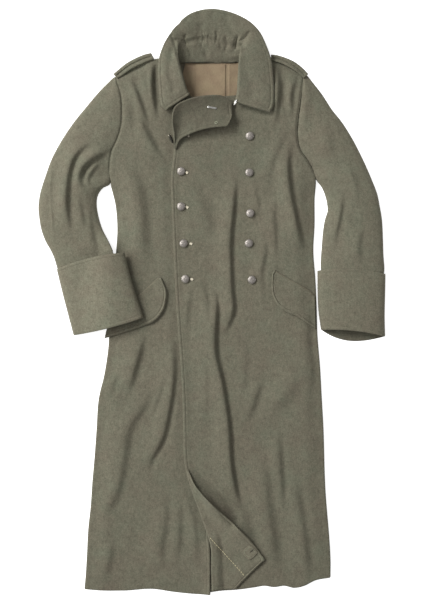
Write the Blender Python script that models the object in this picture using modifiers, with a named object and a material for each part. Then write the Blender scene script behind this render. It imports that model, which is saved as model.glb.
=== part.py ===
"""A double-breasted military greatcoat of heavy wool, laid out flat on its back.

The coat lies with its collar towards +Y and its left front towards +X, on the plane z = 0. Each panel is a
wall of cloth between two rows of seams. Its top follows a height that is worked out from the panels below it,
from how far the cloth has sunk at its edges, and from the folds in the tables. Sizes here are in millimetres,
and the meshes are in metres.
"""
import math

import bmesh
import bpy
import numpy as np
from mathutils import Vector
from mathutils.bvhtree import BVHTree

MM = 0.001
OBJECT_NAME = "military_greatcoat"

WOOL = 2.8            # thickness of the melton wool
BACK_WOOL = 2.6       # the back and the undersides, pressed flat by their own weight
COLLAR_WOOL = 4.4     # two layers and their seam
TWILL = 1.4           # neck lining
PATCH = 0.8           # bare patch on the lining
SEAM = 0.3            # gap between pieces
LAY = SEAM + 0.15     # gap between a panel and what it lies on

FLAT_TOP = BACK_WOOL + LAY + WOOL      # top of one layer of wool that lies on the back
# Added to LAY under a piece that bends over another one.
EASE = dict(overlap=0.35, collar=0.1, flap=0.4, strap=0.3, button=0.2)
BUTTON_DIAMETER = 19.5
BUTTON_HEIGHT = 6.2

# Right front (the underlap), one row for each level from the shoulder to the hem: side edge, then front edge.
RIGHT_FRONT = dict(
    columns=("side_x", "side_y", "front_x", "front_y"),
    rows=[
        (-130, 582, -96, 575), (-161, 572, -86, 551), (-197, 557, -74, 522), (-229, 538, -55, 493),
        (-217, 496, -18, 482), (-214, 460, 30, 478), (-216, 421, 67, 431), (-226, 388, 91, 383),
        (-240, 356, 96, 349), (-245, 316, 96, 311), (-241, 277, 96, 272), (-230, 229, 96, 229),
        (-226, 172, 96, 172), (-230, 109, 96, 109), (-238, 40, 94, 40), (-245, -32, 91, -32),
        (-247, -104, 89, -104), (-257, -174, 84, -174), (-271, -236, 77, -236), (-276, -308, 67, -308),
        (-281, -376, 53, -376), (-286, -433, 34, -433), (-290, -491, 8, -491), (-296, -548, -18, -544),
        (-299, -608, -6, -604), (-302, -656, -5, -660), (-305, -689, -5, -702),
    ],
)

# Left front (the overlap): front edge or fold, then side edge.
LEFT_FRONT = dict(
    columns=("front_x", "front_y", "side_x", "side_y"),
    rows=[
        (84, 577, 130, 582), (82, 546, 161, 577), (78, 512, 192, 565), (50, 478, 218, 546),
        (22, 489, 214, 508), (-18, 488, 209, 469), (-50, 482, 204, 433), (-87, 464, 203, 397),
        (-95, 430, 209, 364), (-90, 372, 228, 335), (-97, 300, 247, 296), (-96, 244, 245, 244),
        (-94, 184, 245, 184), (-91, 121, 242, 119), (-88, 52, 247, 52), (-84, -20, 250, -16),
        (-79, -88, 252, -83), (-74, -160, 258, -155), (-70, -232, 262, -227), (-68, -304, 266, -299),
        (-67, -365, 268, -361), (-60, -410, 269, -404), (-41, -465, 271, -452), (-22, -524, 275, -505),
        (-3, -584, 280, -563), (-1, -640, 283, -616), (0, -692, 283, -661),
    ],
)

OVERLAP_ROWS = 9      # rows of the left front above its straight front edge

# Hem of each front: the level of its lower edge, by place across.
RIGHT_HEM = dict(columns=("x", "y"), rows=[
    (-305, -689), (-259, -692), (-211, -692), (-139, -688), (-91, -695), (-43, -700), (-5, -702)])
LEFT_HEM = dict(columns=("x", "y"), rows=[
    (0, -692), (53, -690), (101, -684), (125, -680), (149, -683), (173, -680), (197, -685), (221, -680),
    (245, -668), (283, -661)])

# Height of the fronts by level: the top at the side edge, and the top of the lie of the cloth.
FRONT_LIE = dict(
    columns=("y", "side_z", "lie_z"),
    rows=[
        (-702, FLAT_TOP, 6.2), (-660, FLAT_TOP, 8.5), (-600, FLAT_TOP, 10.5), (-430, FLAT_TOP, 11.5),
        (-100, FLAT_TOP, 12), (100, FLAT_TOP, 13), (280, 7, 14), (320, 12, 15), (400, 15, 16),
        (500, 15, 16), (540, 9, 13), (560, 8, 12), (585, 7, 10),
    ],
)
SIDE_ROLL = 48        # width over which a front rises from its side seam
FRONT_STEP = 40       # width of the underlap that bears the overlap's edge
EDGE_CURL = dict(height=5, width=20, top=-545, length=60)   # the underlap's free edge at the hem

# Largest folds of the fronts and sleeves. Each row's path follows the fold's dark line from top to bottom.
# The crest lies to its left, the cloth drops at it to a trough on its right, and both widths say how fast
# that dies away.
FOLD_COLUMNS = ("path", "rise", "trough", "left_width", "right_width")
FOLD_FADE = 46        # length over which a fold dies away at each end
LEFT_FOLDS = dict(columns=FOLD_COLUMNS, rows=[
    (((60, 311), (55, 232), (47, 140), (50, 32), (54, -16), (41, -59), (17, -97)), 6, 2, 26, 8),
    (((5, 40), (14, -8), (11, -68), (12, -126), (29, -200), (43, -296), (48, -380), (58, -443),
     (74, -505)), 8, 4, 34, 9),
    (((162, -313), (166, -380), (170, -433), (173, -496)), 5, 2, 24, 9),
    (((115, -352), (134, -424), (144, -512), (166, -664)), 6, 2, 34, 20),
    (((204, -433), (218, -505), (228, -584), (238, -678)), 6, 2, 30, 11),
    (((127, -164), (113, -217), (96, -265), (72, -308)), 4, 1.5, 24, 12),
    (((250, -164), (211, -200), (173, -241), (130, -289)), 5, 1, 34, 26),
    (((192, 388), (185, 328), (190, 268), (199, 220), (211, 167), (226, 114)), 9, 4, 26, 9),
])
RIGHT_FOLDS = dict(columns=FOLD_COLUMNS, rows=[
    (((-79, -73), (-82, -136), (-89, -200), (-106, -296), (-120, -340), (-142, -378),
     (-156, -424)), 6, 3, 28, 9),
    (((-182, 460), (-158, 412), (-132, 366), (-101, 323)), 7, 2, 26, 11),
    (((-216, 344), (-182, 301), (-166, 253), (-158, 191), (-156, 133), (-142, 71)), 7, 1.5, 30, 22),
    (((-156, -59), (-168, -116), (-182, -167), (-204, -241)), 7, 2, 26, 12),
    (((-130, -188), (-161, -256), (-194, -304), (-206, -380), (-226, -467), (-274, -534)), 5, 1.5, 30, 15),
    (((-113, -443), (-108, -520), (-118, -592), (-113, -664)), 4, 1, 26, 14),
])

# Sleeves, from the shoulder to the cuff: outer edge, inner edge, top at the inner edge, crown.
SLEEVE_COLUMNS = ("outer_x", "outer_y", "inner_x", "inner_y", "inner_z", "crown")
RIGHT_SLEEVE = dict(columns=SLEEVE_COLUMNS, rows=[
    (-236, 536, -229, 538, 9, 1), (-269, 503, -217, 496, 15, 8), (-302, 464, -214, 460, 15, 13),
    (-331, 428, -216, 421, 15, 16), (-358, 388, -226, 388, 14, 18), (-382, 344, -240, 356, 12, 19),
    (-398, 301, -245, 316, 10, 20), (-410, 263, -243, 284, FLAT_TOP, 21),
    (-415, 229, -262, 272, FLAT_TOP, 22), (-413, 200, -274, 253, FLAT_TOP, 22),
    (-408, 172, -276, 229, FLAT_TOP, 22), (-398, 145, -271, 200, FLAT_TOP, 22),
    (-386, 124, -262, 172, FLAT_TOP, 22), (-377, 104, -247, 143, FLAT_TOP, 22),
    (-371, 84, -237, 121, FLAT_TOP, 20),
])
LEFT_SLEEVE = dict(columns=SLEEVE_COLUMNS, rows=[
    (226, 543, 218, 546, 9, 1), (262, 497, 214, 508, 15, 8), (286, 460, 209, 469, 15, 13),
    (310, 430, 204, 433, 15, 16), (334, 392, 203, 397, 14, 18), (353, 356, 209, 364, 12, 19),
    (370, 320, 228, 335, 10, 20), (384, 287, 247, 296, FLAT_TOP, 21),
    (395, 258, 264, 272, FLAT_TOP, 22), (401, 229, 274, 244, FLAT_TOP, 22),
    (406, 200, 277, 217, FLAT_TOP, 22), (408, 174, 271, 198, FLAT_TOP, 22),
    (409, 145, 266, 169, FLAT_TOP, 22), (410, 112, 263, 133, FLAT_TOP, 22),
    (412, 85, 260, 92, FLAT_TOP, 20),
])
RIGHT_SLEEVE_FOLDS = dict(columns=FOLD_COLUMNS, rows=[
    (((-274, 383), (-305, 366), (-326, 342), (-338, 306), (-343, 263), (-343, 220),
     (-334, 157)), 9, 4, 22, 9),
    (((-223, 380), (-245, 359), (-274, 342), (-300, 323), (-312, 299), (-307, 277),
     (-286, 260)), 10, 5, 16, 9),
    (((-250, 344), (-269, 328), (-286, 308), (-293, 289), (-283, 270)), 5, 2, 9, 6),
])
LEFT_SLEEVE_FOLDS = dict(columns=FOLD_COLUMNS, rows=[
    (((319, 277), (312, 234), (305, 191), (288, 114)), 6, 2, 26, 9),
    (((235, 512), (226, 455), (233, 392)), 4, 1, 16, 16),
    (((209, 364), (226, 349), (242, 325)), 4, 2, 10, 7),
])

# Cuffs, from their top edge to their mouth: outer edge, inner edge, bow of the edge between them.
CUFF_COLUMNS = ("outer_x", "outer_y", "inner_x", "inner_y", "bow", "crown")
RIGHT_CUFF = dict(columns=CUFF_COLUMNS, rows=[
    (-371, 77, -209, 115, 7, 20), (-359, 27, -197, 66, 4, 19), (-345, -27, -181, 12, 0, 20),
    (-331, -80, -164, -38, -4, 18)])
LEFT_CUFF = dict(columns=CUFF_COLUMNS, rows=[
    (415, 65, 253.5, 73, 9, 17), (414, 16, 254, 27, 5, 19), (413, -34, 256, -21, 2, 20),
    (414, -83, 262, -67, 6, 19)])
CUFF_LIP = dict(right=5, left=16)   # how far the underside of a cuff's mouth shows past its top
SLEEVE_TUCK = 13      # how far a sleeve runs on inside its cuff
TUCK_NARROWING = 10   # how far each side of it draws in there
CUFF_STEP = 1.2       # how far a cuff stands over its sleeve
CUFF_FULLNESS = 0.36  # below a half, a cuff rises steeply from its edges
CUFF_CLIMB = dict(start_x=-276, width=40, height=19.5)   # the right cuff climbs on to the front and its flap

# Collar, from its right end round the back of the neck to its left end: neck seam, roll, outer edge, heights.
COLLAR = dict(
    columns=("neck_x", "neck_y", "neck_z", "roll_x", "roll_y", "roll_z", "edge_x", "edge_y", "edge_z"),
    rows=[
        (-62, 492, 17, -52, 493, 28, -109, 456, 27), (-73, 508, 17, -58, 509, 32, -121, 470, 27),
        (-84, 532, 17, -64, 537, 36, -126, 508, 26), (-90, 556, 15, -71, 566, 38, -128, 546, 27),
        (-89, 570, 12.5, -78, 596, 36, -126, 581, 29), (-74, 576, 8.7, -80, 618, 32, -117, 608, 31),
        (-58, 576, 8.7, -66, 629, 28, -107, 627, 33), (-38, 576, 8.7, -44, 632, 26, -86, 654, 35),
        (-17, 576, 8.7, -22, 635, 25.5, -48, 684, 36), (2, 576, 8.7, 4, 632, 25.5, -2, 694, 36),
        (24, 576, 8.7, 30, 627, 25.5, 43, 686, 36), (46, 576, 8.7, 55, 623, 26.5, 83, 668, 35),
        (65, 574, 8.7, 72, 618, 29, 109, 645, 33), (78, 566, 17.5, 68, 601, 34.5, 125, 618, 31),
        (84, 543, 20, 64, 575, 38, 138, 584, 30), (82, 517, 21, 62, 544, 38, 144, 544, 30),
        (76, 497, 21, 60, 510, 36, 147, 505, 31), (72, 487, 21, 57, 490, 34.5, 146, 470, 32),
        (66, 477, 21, 54, 476, 33, 138, 450, 32),
    ],
)
ROLL_RADIUS = 6.5
NECK_ON_FRONTS = 560  # below this level the neck seam lies on a front

# Turned-out top corner of the left front: its fold, its free edge, and how far it stands over the front. The
# fold rolls up to a crest round the upper left, and the cloth drops from it into a bowl and rises again to
# the free edge.
LAPEL = dict(
    columns=("fold_x", "fold_y", "edge_x", "edge_y", "fold_lift", "dip_lift", "edge_lift"),
    rows=[
        (-89, 366, -86, 363, 0.3, 0.3, 0.3), (-89, 396, -77, 385, 4, 1, 5), (-93, 430, -56, 397, 7, 0.8, 9),
        (-85, 462, -29, 407, 8, 0.8, 12), (-50, 480, 0, 413, 8, 0.8, 14), (-18, 486, 20, 415, 8, 0.8, 15),
        (20, 487, 37, 418, 7, 1, 15), (48, 474, 47, 440, 4, 2, 12),
    ],
)

# Turned-back hem corner of the left front: its fold, its free edge, and how far it stands over the front.
HEM_CORNER = dict(
    columns=("fold_x", "fold_y", "edge_x", "edge_y", "fold_lift", "dip_lift", "edge_lift"),
    rows=[
        (-60, -402, -57, -402, 0.3, 0.3, 0.3), (-51, -438, -38, -442, 3, 3, 8), (-37, -477, 2, -484, 4, 4, 14),
        (-19, -524, 47, -526, 5, 3, 12), (0, -584, 90, -569, 5, 2, 6), (1, -620, 117, -604, 5, 2, 3),
        (1, -630, 125, -616, 5, 2, 3), (1, -638, 117, -624, 5, 2, 3), (2, -662, 84, -657, 4, 1.5, 2),
        (3, -688, 56, -687, 3, 1, 1.5),
    ],
)
CORNER_TAB = dict(x=89, y=-602, size=29, turn=math.radians(-49), thick=2.0)

# Pocket flaps, from the front end to the side seam: top seam, then lower edge.
FLAP_COLUMNS = ("seam_x", "seam_y", "edge_x", "edge_y")
RIGHT_FLAP = dict(columns=FLAP_COLUMNS, rows=[
    (-127, 58, -122, 55), (-137, 49, -110, 26), (-148, 39, -111, -2), (-160, 28, -120, -27),
    (-173, 17, -139, -47), (-196, 0, -160, -56), (-220, -17, -201, -70), (-244, -34, -256, -87)])
LEFT_FLAP = dict(columns=FLAP_COLUMNS, rows=[
    (149, 75, 145, 68), (158, 69, 143, 40), (170, 62, 146, 14), (184, 54, 158, -9), (202, 44, 180, -25),
    (220, 34, 205, -36), (234, 25, 229, -52), (245, 14, 247, -64)])
FLAP_LIFT = 2.0       # how far the lower edge of a flap stands off the front

# Shoulder straps, seen along their edge, from the sleeve to the collar: outer edge, then inner edge.
STRAP_COLUMNS = ("outer_x", "outer_y", "inner_x", "inner_y")
RIGHT_STRAP = dict(columns=STRAP_COLUMNS, rows=[
    (-235, 544, -226, 534), (-219, 558, -208, 546), (-202, 571, -190, 558), (-180, 583, -170, 568),
    (-160, 591, -153, 575), (-146, 594, -139, 579)])
LEFT_STRAP = dict(columns=STRAP_COLUMNS, rows=[
    (229, 544, 219, 535), (216, 558, 205, 547), (198, 572, 189, 558), (177, 582, 170, 568),
    (158, 588, 154, 574), (142, 590, 141, 577)])
STRAP_RISE = 6        # how far the middle of a strap's inner edge stands off the front

BUTTONS = dict(columns=("column", "x", "y"), rows=[
    ("right", -74, 311), ("right", -74, 227), ("right", -68, 139), ("right", -64, 54),
    ("left", 90, 395), ("left", 89, 308), ("left", 91, 211), ("left", 88, 139), ("left", 95, 52)])
LINING = dict(left=-92, right=84, top=575, bottom=470, neck_left=-62, neck_right=66)
NECK_PATCH = dict(left=-38, right=31, top=568, bottom=489)
EYE_BAR = dict(x0=-10, y0=463, x1=11, y1=461, wire=1.8)
HOOK = dict(x0=61, y0=486, x1=58, y1=478, wire=2.0)

COLOURS = {
    "wool": ((0.135, 0.125, 0.092), 0.95, 0.0),
    "lining": ((0.30, 0.215, 0.13), 0.85, 0.0),
    "metal": ((0.42, 0.41, 0.39), 0.38, 1.0),
}


def column(table, name):
    """One named column of a table, as an array."""
    return np.array([row[table["columns"].index(name)] for row in table["rows"]], dtype=float)


def pair(table, x_name, y_name):
    """Two named columns as points in the plane."""
    return np.column_stack((column(table, x_name), column(table, y_name)))


def read(table, key, value, at):
    """A column read at any place along another one, on straight lines between its rows."""
    keys, values = column(table, key), column(table, value)
    order = np.argsort(keys)
    return np.interp(at, keys[order], values[order])


def smooth(t):
    t = np.clip(t, 0, 1)
    return t * t * (3 - 2 * t)


def soft_max(a, b, round_off=1.0):
    """The larger of two heights, never below either, rounded where they cross."""
    return 0.5 * (a + b + np.sqrt((a - b) ** 2 + round_off ** 2))


def folds(table, x, y):
    """Sum of the folds. Each is a ridge beside its path that drops to a trough across it, and dies away at
    both ends.

    With w the distance to the right of the path, the ridge is a bell curve of the left width up to its crest,
    which stands 0.7 right widths before the path, and one of the right width beyond it. The trough is a bell
    curve past the path.
    """
    total = np.zeros_like(x, dtype=float)
    for path, rise, trough, left_width, right_width in table["rows"]:
        points = np.array(path, dtype=float)
        steps = np.diff(points, axis=0)
        lengths = np.hypot(steps[:, 0], steps[:, 1])
        starts = np.concatenate(([0], np.cumsum(lengths)))
        nearest, side, along = np.full(x.shape, 1e9), np.zeros(x.shape), np.zeros(x.shape)
        for (ax, ay), (dx, dy), length, begin in zip(points, steps / lengths[:, None], lengths, starts):
            t = np.clip((x - ax) * dx + (y - ay) * dy, 0, length)
            distance = np.hypot(x - ax - t * dx, y - ay - t * dy)
            closer = distance < nearest
            nearest = np.where(closer, distance, nearest)
            side = np.where(closer, dx * (y - ay) - dy * (x - ax), side)
            along = np.where(closer, begin + t, along)
        w = np.where(side > 0, nearest, -nearest)
        from_crest = w + 0.7 * right_width
        ridge = np.exp(-(from_crest / np.where(from_crest > 0, right_width, left_width)) ** 2)
        dip = np.exp(-((w - 0.4 * right_width) / right_width) ** 2)
        fade = smooth(along / FOLD_FADE) * smooth((starts[-1] - along) / FOLD_FADE)
        total += (rise * ridge - trough * dip) * fade
    return total


def side_distance(x, y):
    """How far a point lies inside the side edge of each front."""
    right = x - read(RIGHT_FRONT, "side_y", "side_x", y)
    left = read(LEFT_FRONT, "side_y", "side_x", y) - x
    return right, left


def overlap_edge(y):
    """Front edge of the overlap at a level below its lapel."""
    below = dict(columns=LEFT_FRONT["columns"], rows=LEFT_FRONT["rows"][OVERLAP_ROWS:])
    return read(below, "front_y", "front_x", y)


def lie_of_cloth(x, y):
    """Height of a front before its folds: low along its side, then level."""
    side_z, lie_z = read(FRONT_LIE, "y", "side_z", y), read(FRONT_LIE, "y", "lie_z", y)
    right, left = side_distance(x, y)
    return side_z + (lie_z - side_z) * smooth(np.minimum(right, left) / SIDE_ROLL)


def right_front_top(x, y):
    """Top of the underlap: it bears the edge of the overlap, and past that it is pressed flat. Below the turned
    hem corner its own free edge curls up."""
    under = smooth((x - overlap_edge(y) - 4) / FRONT_STEP) * smooth((430 - y) / 60 + 1)
    bearing = smooth((x - overlap_edge(y) + 60) / 45)
    lie = lie_of_cloth(x, y)
    shown = lie - 2.0 * bearing * smooth((lie - FLAT_TOP) / 3) + folds(RIGHT_FOLDS, x, y) * (1 - bearing)
    flat = np.maximum(shown + (FLAT_TOP - shown) * under, FLAT_TOP)
    free_edge = read(RIGHT_FRONT, "front_y", "front_x", y)
    curl = EDGE_CURL["height"] * np.exp(-(((free_edge - x) / EDGE_CURL["width"]) ** 2))
    return flat + curl * smooth((EDGE_CURL["top"] - y) / EDGE_CURL["length"])


def left_front_top(x, y):
    """Top of the overlap: clear of the underlap wherever that reaches, with its own folds."""
    inside = smooth((x - overlap_edge(y)) / 45)
    own = lie_of_cloth(x, y) + 2.0 * inside + folds(LEFT_FOLDS, x, y) * smooth((x - overlap_edge(y)) / 30)
    reach = read(RIGHT_FRONT, "front_y", "front_x", y)
    under = right_front_top(np.minimum(x, reach), y)
    bears = 1 - smooth((x - reach - 30) / 30)
    support = (under + LAY + EASE["overlap"] + WOOL) * bears + FLAT_TOP * (1 - bears)
    return soft_max(own, support, 0.8)


def front_top(x, y):
    """Top of whichever front lies uppermost."""
    x, y = np.asarray(x, dtype=float), np.asarray(y, dtype=float)
    return np.where(x < overlap_edge(y) - 1, right_front_top(x, y), left_front_top(x, y))


def make_material(slot):
    colour, roughness, metallic = COLOURS[slot]
    material = bpy.data.materials.new(slot)
    material.use_nodes = True
    shader = material.node_tree.nodes["Principled BSDF"]
    shader.inputs["Base Color"].default_value = (*colour, 1)
    shader.inputs["Roughness"].default_value = roughness
    shader.inputs["Metallic"].default_value = metallic
    return material


def add_object(name, mesh, slot, collection):
    mesh.materials.append(make_material(slot))
    thing = bpy.data.objects.new(name, mesh)
    collection.objects.link(thing)
    return thing


def wall(name, top, bottom, slot, collection):
    """A closed wall between two grids of points, rows by columns by xyz in millimetres."""
    rows, columns, _ = top.shape
    count = rows * columns
    index = np.arange(count).reshape(rows, columns)
    a, b, c, d = index[:-1, :-1], index[1:, :-1], index[1:, 1:], index[:-1, 1:]
    upper = np.stack((a, b, c, d), axis=-1).reshape(-1, 4)
    lower = np.stack((d, c, b, a), axis=-1).reshape(-1, 4) + count
    rim = np.concatenate((index[0, ::-1], index[1:, 0], index[-1, 1:], index[-2:0:-1, -1]))
    after = np.roll(rim, -1)
    sides = np.stack((rim, rim + count, after + count, after), axis=-1)
    points = np.concatenate((top.reshape(-1, 3), bottom.reshape(-1, 3))) * MM
    mesh = bpy.data.meshes.new(name)
    mesh.from_pydata(points.tolist(), [], np.concatenate((upper, lower, sides)).tolist())
    shape = bmesh.new()
    shape.from_mesh(mesh)
    bmesh.ops.recalc_face_normals(shape, faces=shape.faces)
    shape.to_mesh(mesh)
    shape.free()
    mesh.shade_smooth()
    mesh.set_sharp_from_angle(angle=math.radians(45))
    return add_object(name, mesh, slot, collection)


def grid(first, second, columns, splits=1):
    """Points between two edges given row by row: splits steps between rows, columns steps across."""
    count = (len(first) - 1) * splits + 1
    at = np.linspace(0, len(first) - 1, count)
    steps = np.arange(len(first))
    edge_a = np.column_stack([np.interp(at, steps, first[:, k]) for k in (0, 1)])
    edge_b = np.column_stack([np.interp(at, steps, second[:, k]) for k in (0, 1)])
    t = np.linspace(0, 1, columns + 1)[None, :, None]
    return edge_a[:, None, :] * (1 - t) + edge_b[:, None, :] * t, at


def lay(points, height):
    return np.concatenate((points, height[..., None]), axis=-1)


def panel(name, points, top_z, thickness, slot, collection):
    """A wall of cloth whose underside lies straight below its top."""
    return wall(name, lay(points, top_z), lay(points, top_z - thickness), slot, collection)


def flat_piece(name, outline, low, thickness, slot, collection):
    """A flat piece cut to an outline: a filled curve with an extrude of half its thickness."""
    curve = bpy.data.curves.new(name, "CURVE")
    curve.dimensions = "2D"
    curve.fill_mode = "BOTH"
    curve.extrude = thickness / 2 * MM
    spline = curve.splines.new("POLY")
    spline.points.add(len(outline) - 1)
    flat = np.zeros((len(outline), 4))
    flat[:, :2] = np.asarray(outline) * MM
    flat[:, 3] = 1
    spline.points.foreach_set("co", flat.ravel())
    spline.use_cyclic_u = True
    curve.materials.append(make_material(slot))
    piece = bpy.data.objects.new(name, curve)
    collection.objects.link(piece)
    piece.location.z = (low + thickness / 2) * MM
    return piece


def clean_edge(points, least=0.6):
    """An outline without the points that lie too near the one before."""
    kept = [points[0]]
    for point in points[1:]:
        if math.dist(point, kept[-1]) > least:
            kept.append(point)
    return kept


def bend_to_hem(points, hem, reach=90):
    """Moves the lowest stretch of a panel down to its hem, most at the hem itself."""
    last = points[-1, :, 1]
    shift = read(hem, "x", "y", points[-1, :, 0]) - last
    share = smooth(1 - (points[:, :, 1] - last[None, :]) / reach)
    bent = points.copy()
    bent[:, :, 1] += shift[None, :] * share
    return bent


def make_fronts(collection):
    points, _ = grid(pair(RIGHT_FRONT, "side_x", "side_y"), pair(RIGHT_FRONT, "front_x", "front_y"), 18, 2)
    points = bend_to_hem(points, RIGHT_HEM)
    height = right_front_top(points[..., 0], points[..., 1])
    right = panel("front_right", points, height, WOOL, "wool", collection)
    points, _ = grid(pair(LEFT_FRONT, "front_x", "front_y"), pair(LEFT_FRONT, "side_x", "side_y"), 26, 2)
    points = bend_to_hem(points, LEFT_HEM)
    height = left_front_top(points[..., 0], points[..., 1])
    left = panel("front_left", points, height, WOOL, "wool", collection)
    return right, left


def make_back(collection):
    right = pair(RIGHT_FRONT, "side_x", "side_y").tolist()
    left = pair(LEFT_FRONT, "side_x", "side_y").tolist()
    hem = [(x, y + 1.5) for x, y in pair(RIGHT_HEM, "x", "y")[1:-1]]
    hem += [(x, y + 1.5) for x, y in pair(LEFT_HEM, "x", "y")[1:-1]]
    outline = clean_edge(right + hem + left[::-1])
    flat_piece("back", outline, 0, BACK_WOOL, "wool", collection)


def sleeve_top(table, fold_table, points, t, at):
    """A flattened tube: low along its edges, crowned between them, higher where it joins the armhole."""
    steps = np.arange(len(table["rows"]))
    inner = np.interp(at, steps, column(table, "inner_z"))[:, None]
    crown = np.interp(at, steps, column(table, "crown"))[:, None]
    across = t[None, :]
    base = FLAT_TOP + (inner - FLAT_TOP) * smooth(across * 1.4 - 0.4)
    swell = crown * np.sqrt(np.clip(1 - (2 * across - 1) ** 2, 0, 1))
    open_edge = np.where(inner > FLAT_TOP, 1 - across ** 3, 1)
    relief = folds(fold_table, points[..., 0], points[..., 1]) * np.clip(4 * across * (1 - across), 0, 1)
    return base + swell * open_edge * 0.75 + relief


def make_sleeve(side, table, fold_table, collection):
    outward = -1 if side == "right" else 1
    outer, inner = pair(table, "outer_x", "outer_y"), pair(table, "inner_x", "inner_y")
    inner[:, 0] += outward * (SEAM + 0.15)
    columns = 9
    points, at = grid(outer, inner, columns, 1)
    t = np.linspace(0, 1, columns + 1)
    height = sleeve_top(table, fold_table, points, t, at)
    tuck = points[-1:] + (points[-1:] - points[-2:-1]) / 20 * SLEEVE_TUCK
    shrink = TUCK_NARROWING * (1 - 2 * t)[None, :]
    tuck[..., 0] -= outward * shrink
    points = np.concatenate((points, tuck))
    height = np.concatenate((height, height[-1:]))
    near_cuff = smooth((np.arange(len(height)) - len(height) + 5) / 3)[:, None]
    bearing = cuff_floor(side, points[..., 0]) + FLAT_TOP + 1.2
    height = np.maximum(height, height * (1 - near_cuff) + bearing * near_cuff)
    panel(f"top_sleeve_{side}", points, height, WOOL, "wool", collection)
    outline = clean_edge(outer.tolist() + inner[::-1].tolist())
    flat_piece(f"under_sleeve_{side}", outline, 0, BACK_WOOL, "wool", collection)


def cuff_floor(side, x):
    """What the underside of a cuff lies on: the surface, or the front and its flap."""
    if side == "left":
        return np.zeros_like(x)
    return CUFF_CLIMB["height"] * smooth((x - CUFF_CLIMB["start_x"]) / CUFF_CLIMB["width"])


def make_cuff(side, table, collection):
    outward = -1 if side == "right" else 1
    columns = 9
    points, at = grid(pair(table, "outer_x", "outer_y"), pair(table, "inner_x", "inner_y"), columns, 2)
    t = np.linspace(0, 1, columns + 1)[None, :]
    steps = np.arange(len(table["rows"]))
    arch = 4 * t * (1 - t)
    bow = np.interp(at, steps, column(table, "bow"))[:, None] * arch
    crown = np.interp(at, steps, column(table, "crown"))[:, None] + CUFF_STEP
    crown = crown * np.clip(arch, 0, 1) ** CUFF_FULLNESS
    points[..., 1] += bow
    floor = cuff_floor(side, points[..., 0])
    seat = floor + BACK_WOOL
    top = seat + LAY + WOOL + crown
    panel(f"cuff_{side}", points, top, WOOL, "wool", collection)
    under = points.copy()
    under[:, :, 0] -= outward * 0.8 * (1 - 2 * t)
    mouth = np.clip((at - at[-2]) / (at[-1] - at[-2]), 0, 1)[:, None]
    under[..., 1] -= (CUFF_LIP[side] * arch + bow * 0.5) * mouth
    head = np.clip(1 - at, 0, 1)[:, None]
    under[..., 1] -= (bow + 1.5) * head
    floor = cuff_floor(side, under[..., 0])
    panel(f"cuff_under_{side}", under, floor + BACK_WOOL, BACK_WOOL, "wool", collection)


def surface_of(thing):
    """The finished faces of a piece, to lay another piece on."""
    return BVHTree.FromObject(thing, bpy.context.evaluated_depsgraph_get())


def drop(surface, x, y, from_height=100):
    """Height of a surface straight below a point, in millimetres."""
    place = surface.ray_cast(Vector((x * MM, y * MM, from_height * MM)), Vector((0, 0, -1)))[0]
    return place.z / MM if place else 0.0


def collar_section(neck, roll, edge):
    """One section: straight stand, a round roll through the named point, straight fall. Gives the face and
    the inside, offset by the collar's thickness towards the inside of the fold."""
    corner = roll
    for _ in range(4):
        a, b = neck - corner, edge - corner
        stand_length = np.linalg.norm(a)
        a, b = a / stand_length, b / np.linalg.norm(b)
        half = math.acos(float(np.clip(a @ b, -1, 1))) / 2
        tangent = min(ROLL_RADIUS / math.tan(half), 0.8 * stand_length)
        radius = tangent * math.tan(half)
        bisector = (a + b) / np.linalg.norm(a + b)
        corner = roll - bisector * (radius / math.sin(half) - radius)
    centre = corner + bisector * (radius / math.sin(half))
    start, end = corner + a * tangent, corner + b * tangent
    inward_a = (centre - start) / radius
    inward_b = (centre - end) / radius
    face = [neck, neck * 0.5 + start * 0.5, start]
    inward = [inward_a, inward_a, inward_a]
    for t in (1 / 3, 2 / 3):
        direction = inward_a * (1 - t) + inward_b * t
        direction /= np.linalg.norm(direction)
        face.append(centre - direction * radius)
        inward.append(direction)
    for t in (0, 0.33, 0.67, 1):
        face.append(end * (1 - t) + edge * t)
        inward.append(inward_b)
    face, inward = np.array(face), np.array(inward)
    return face, face + inward * COLLAR_WOOL


def make_collar(fronts, collection):
    """The collar's wall: its neck seam lies on the fronts, and behind them on the lining."""
    surfaces = [surface_of(front) for front in fronts]
    faces, insides = [], []
    for row in COLLAR["rows"]:
        neck, roll, edge = (np.array(row[k:k + 3], dtype=float) for k in (0, 3, 6))
        if neck[1] < NECK_ON_FRONTS:
            neck[2] = max(drop(surface, neck[0], neck[1]) for surface in surfaces) + LAY + EASE["collar"]
        face, inside = collar_section(neck, roll, edge)
        faces.append(face)
        insides.append(inside)
    return wall("collar", np.array(faces), np.array(insides), "wool", collection)


def turned_corner(name, table, columns, splits, collection):
    """A corner turned over on to the front: it rolls up from its fold, dips, and its free edge stands off."""
    points, at = grid(pair(table, "fold_x", "fold_y"), pair(table, "edge_x", "edge_y"), columns, splits)
    steps = np.arange(len(table["rows"]))
    lifts = [np.interp(at, steps, column(table, key))[:, None] for key in ("fold_lift", "dip_lift", "edge_lift")]
    t = np.linspace(0, 1, columns + 1)[None, :]
    lift = lifts[0] * (1 - t) ** 2 * (1 - t) + lifts[1] * (1 - (1 - t) ** 3 - t ** 2) + lifts[2] * t ** 2
    base = left_front_top(points[..., 0], points[..., 1]) + LAY + WOOL
    return panel(name, points, base + lift, WOOL, "wool", collection)


def make_flap(side, table, collection):
    points, _ = grid(pair(table, "seam_x", "seam_y"), pair(table, "edge_x", "edge_y"), 6, 2)
    t = np.linspace(0, 1, 7)[None, :]
    top = front_top(points[..., 0], points[..., 1]) + LAY + EASE["flap"] + WOOL + FLAP_LIFT * t ** 2
    panel(f"pocket_flap_{side}", points, top, WOOL, "wool", collection)


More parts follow.
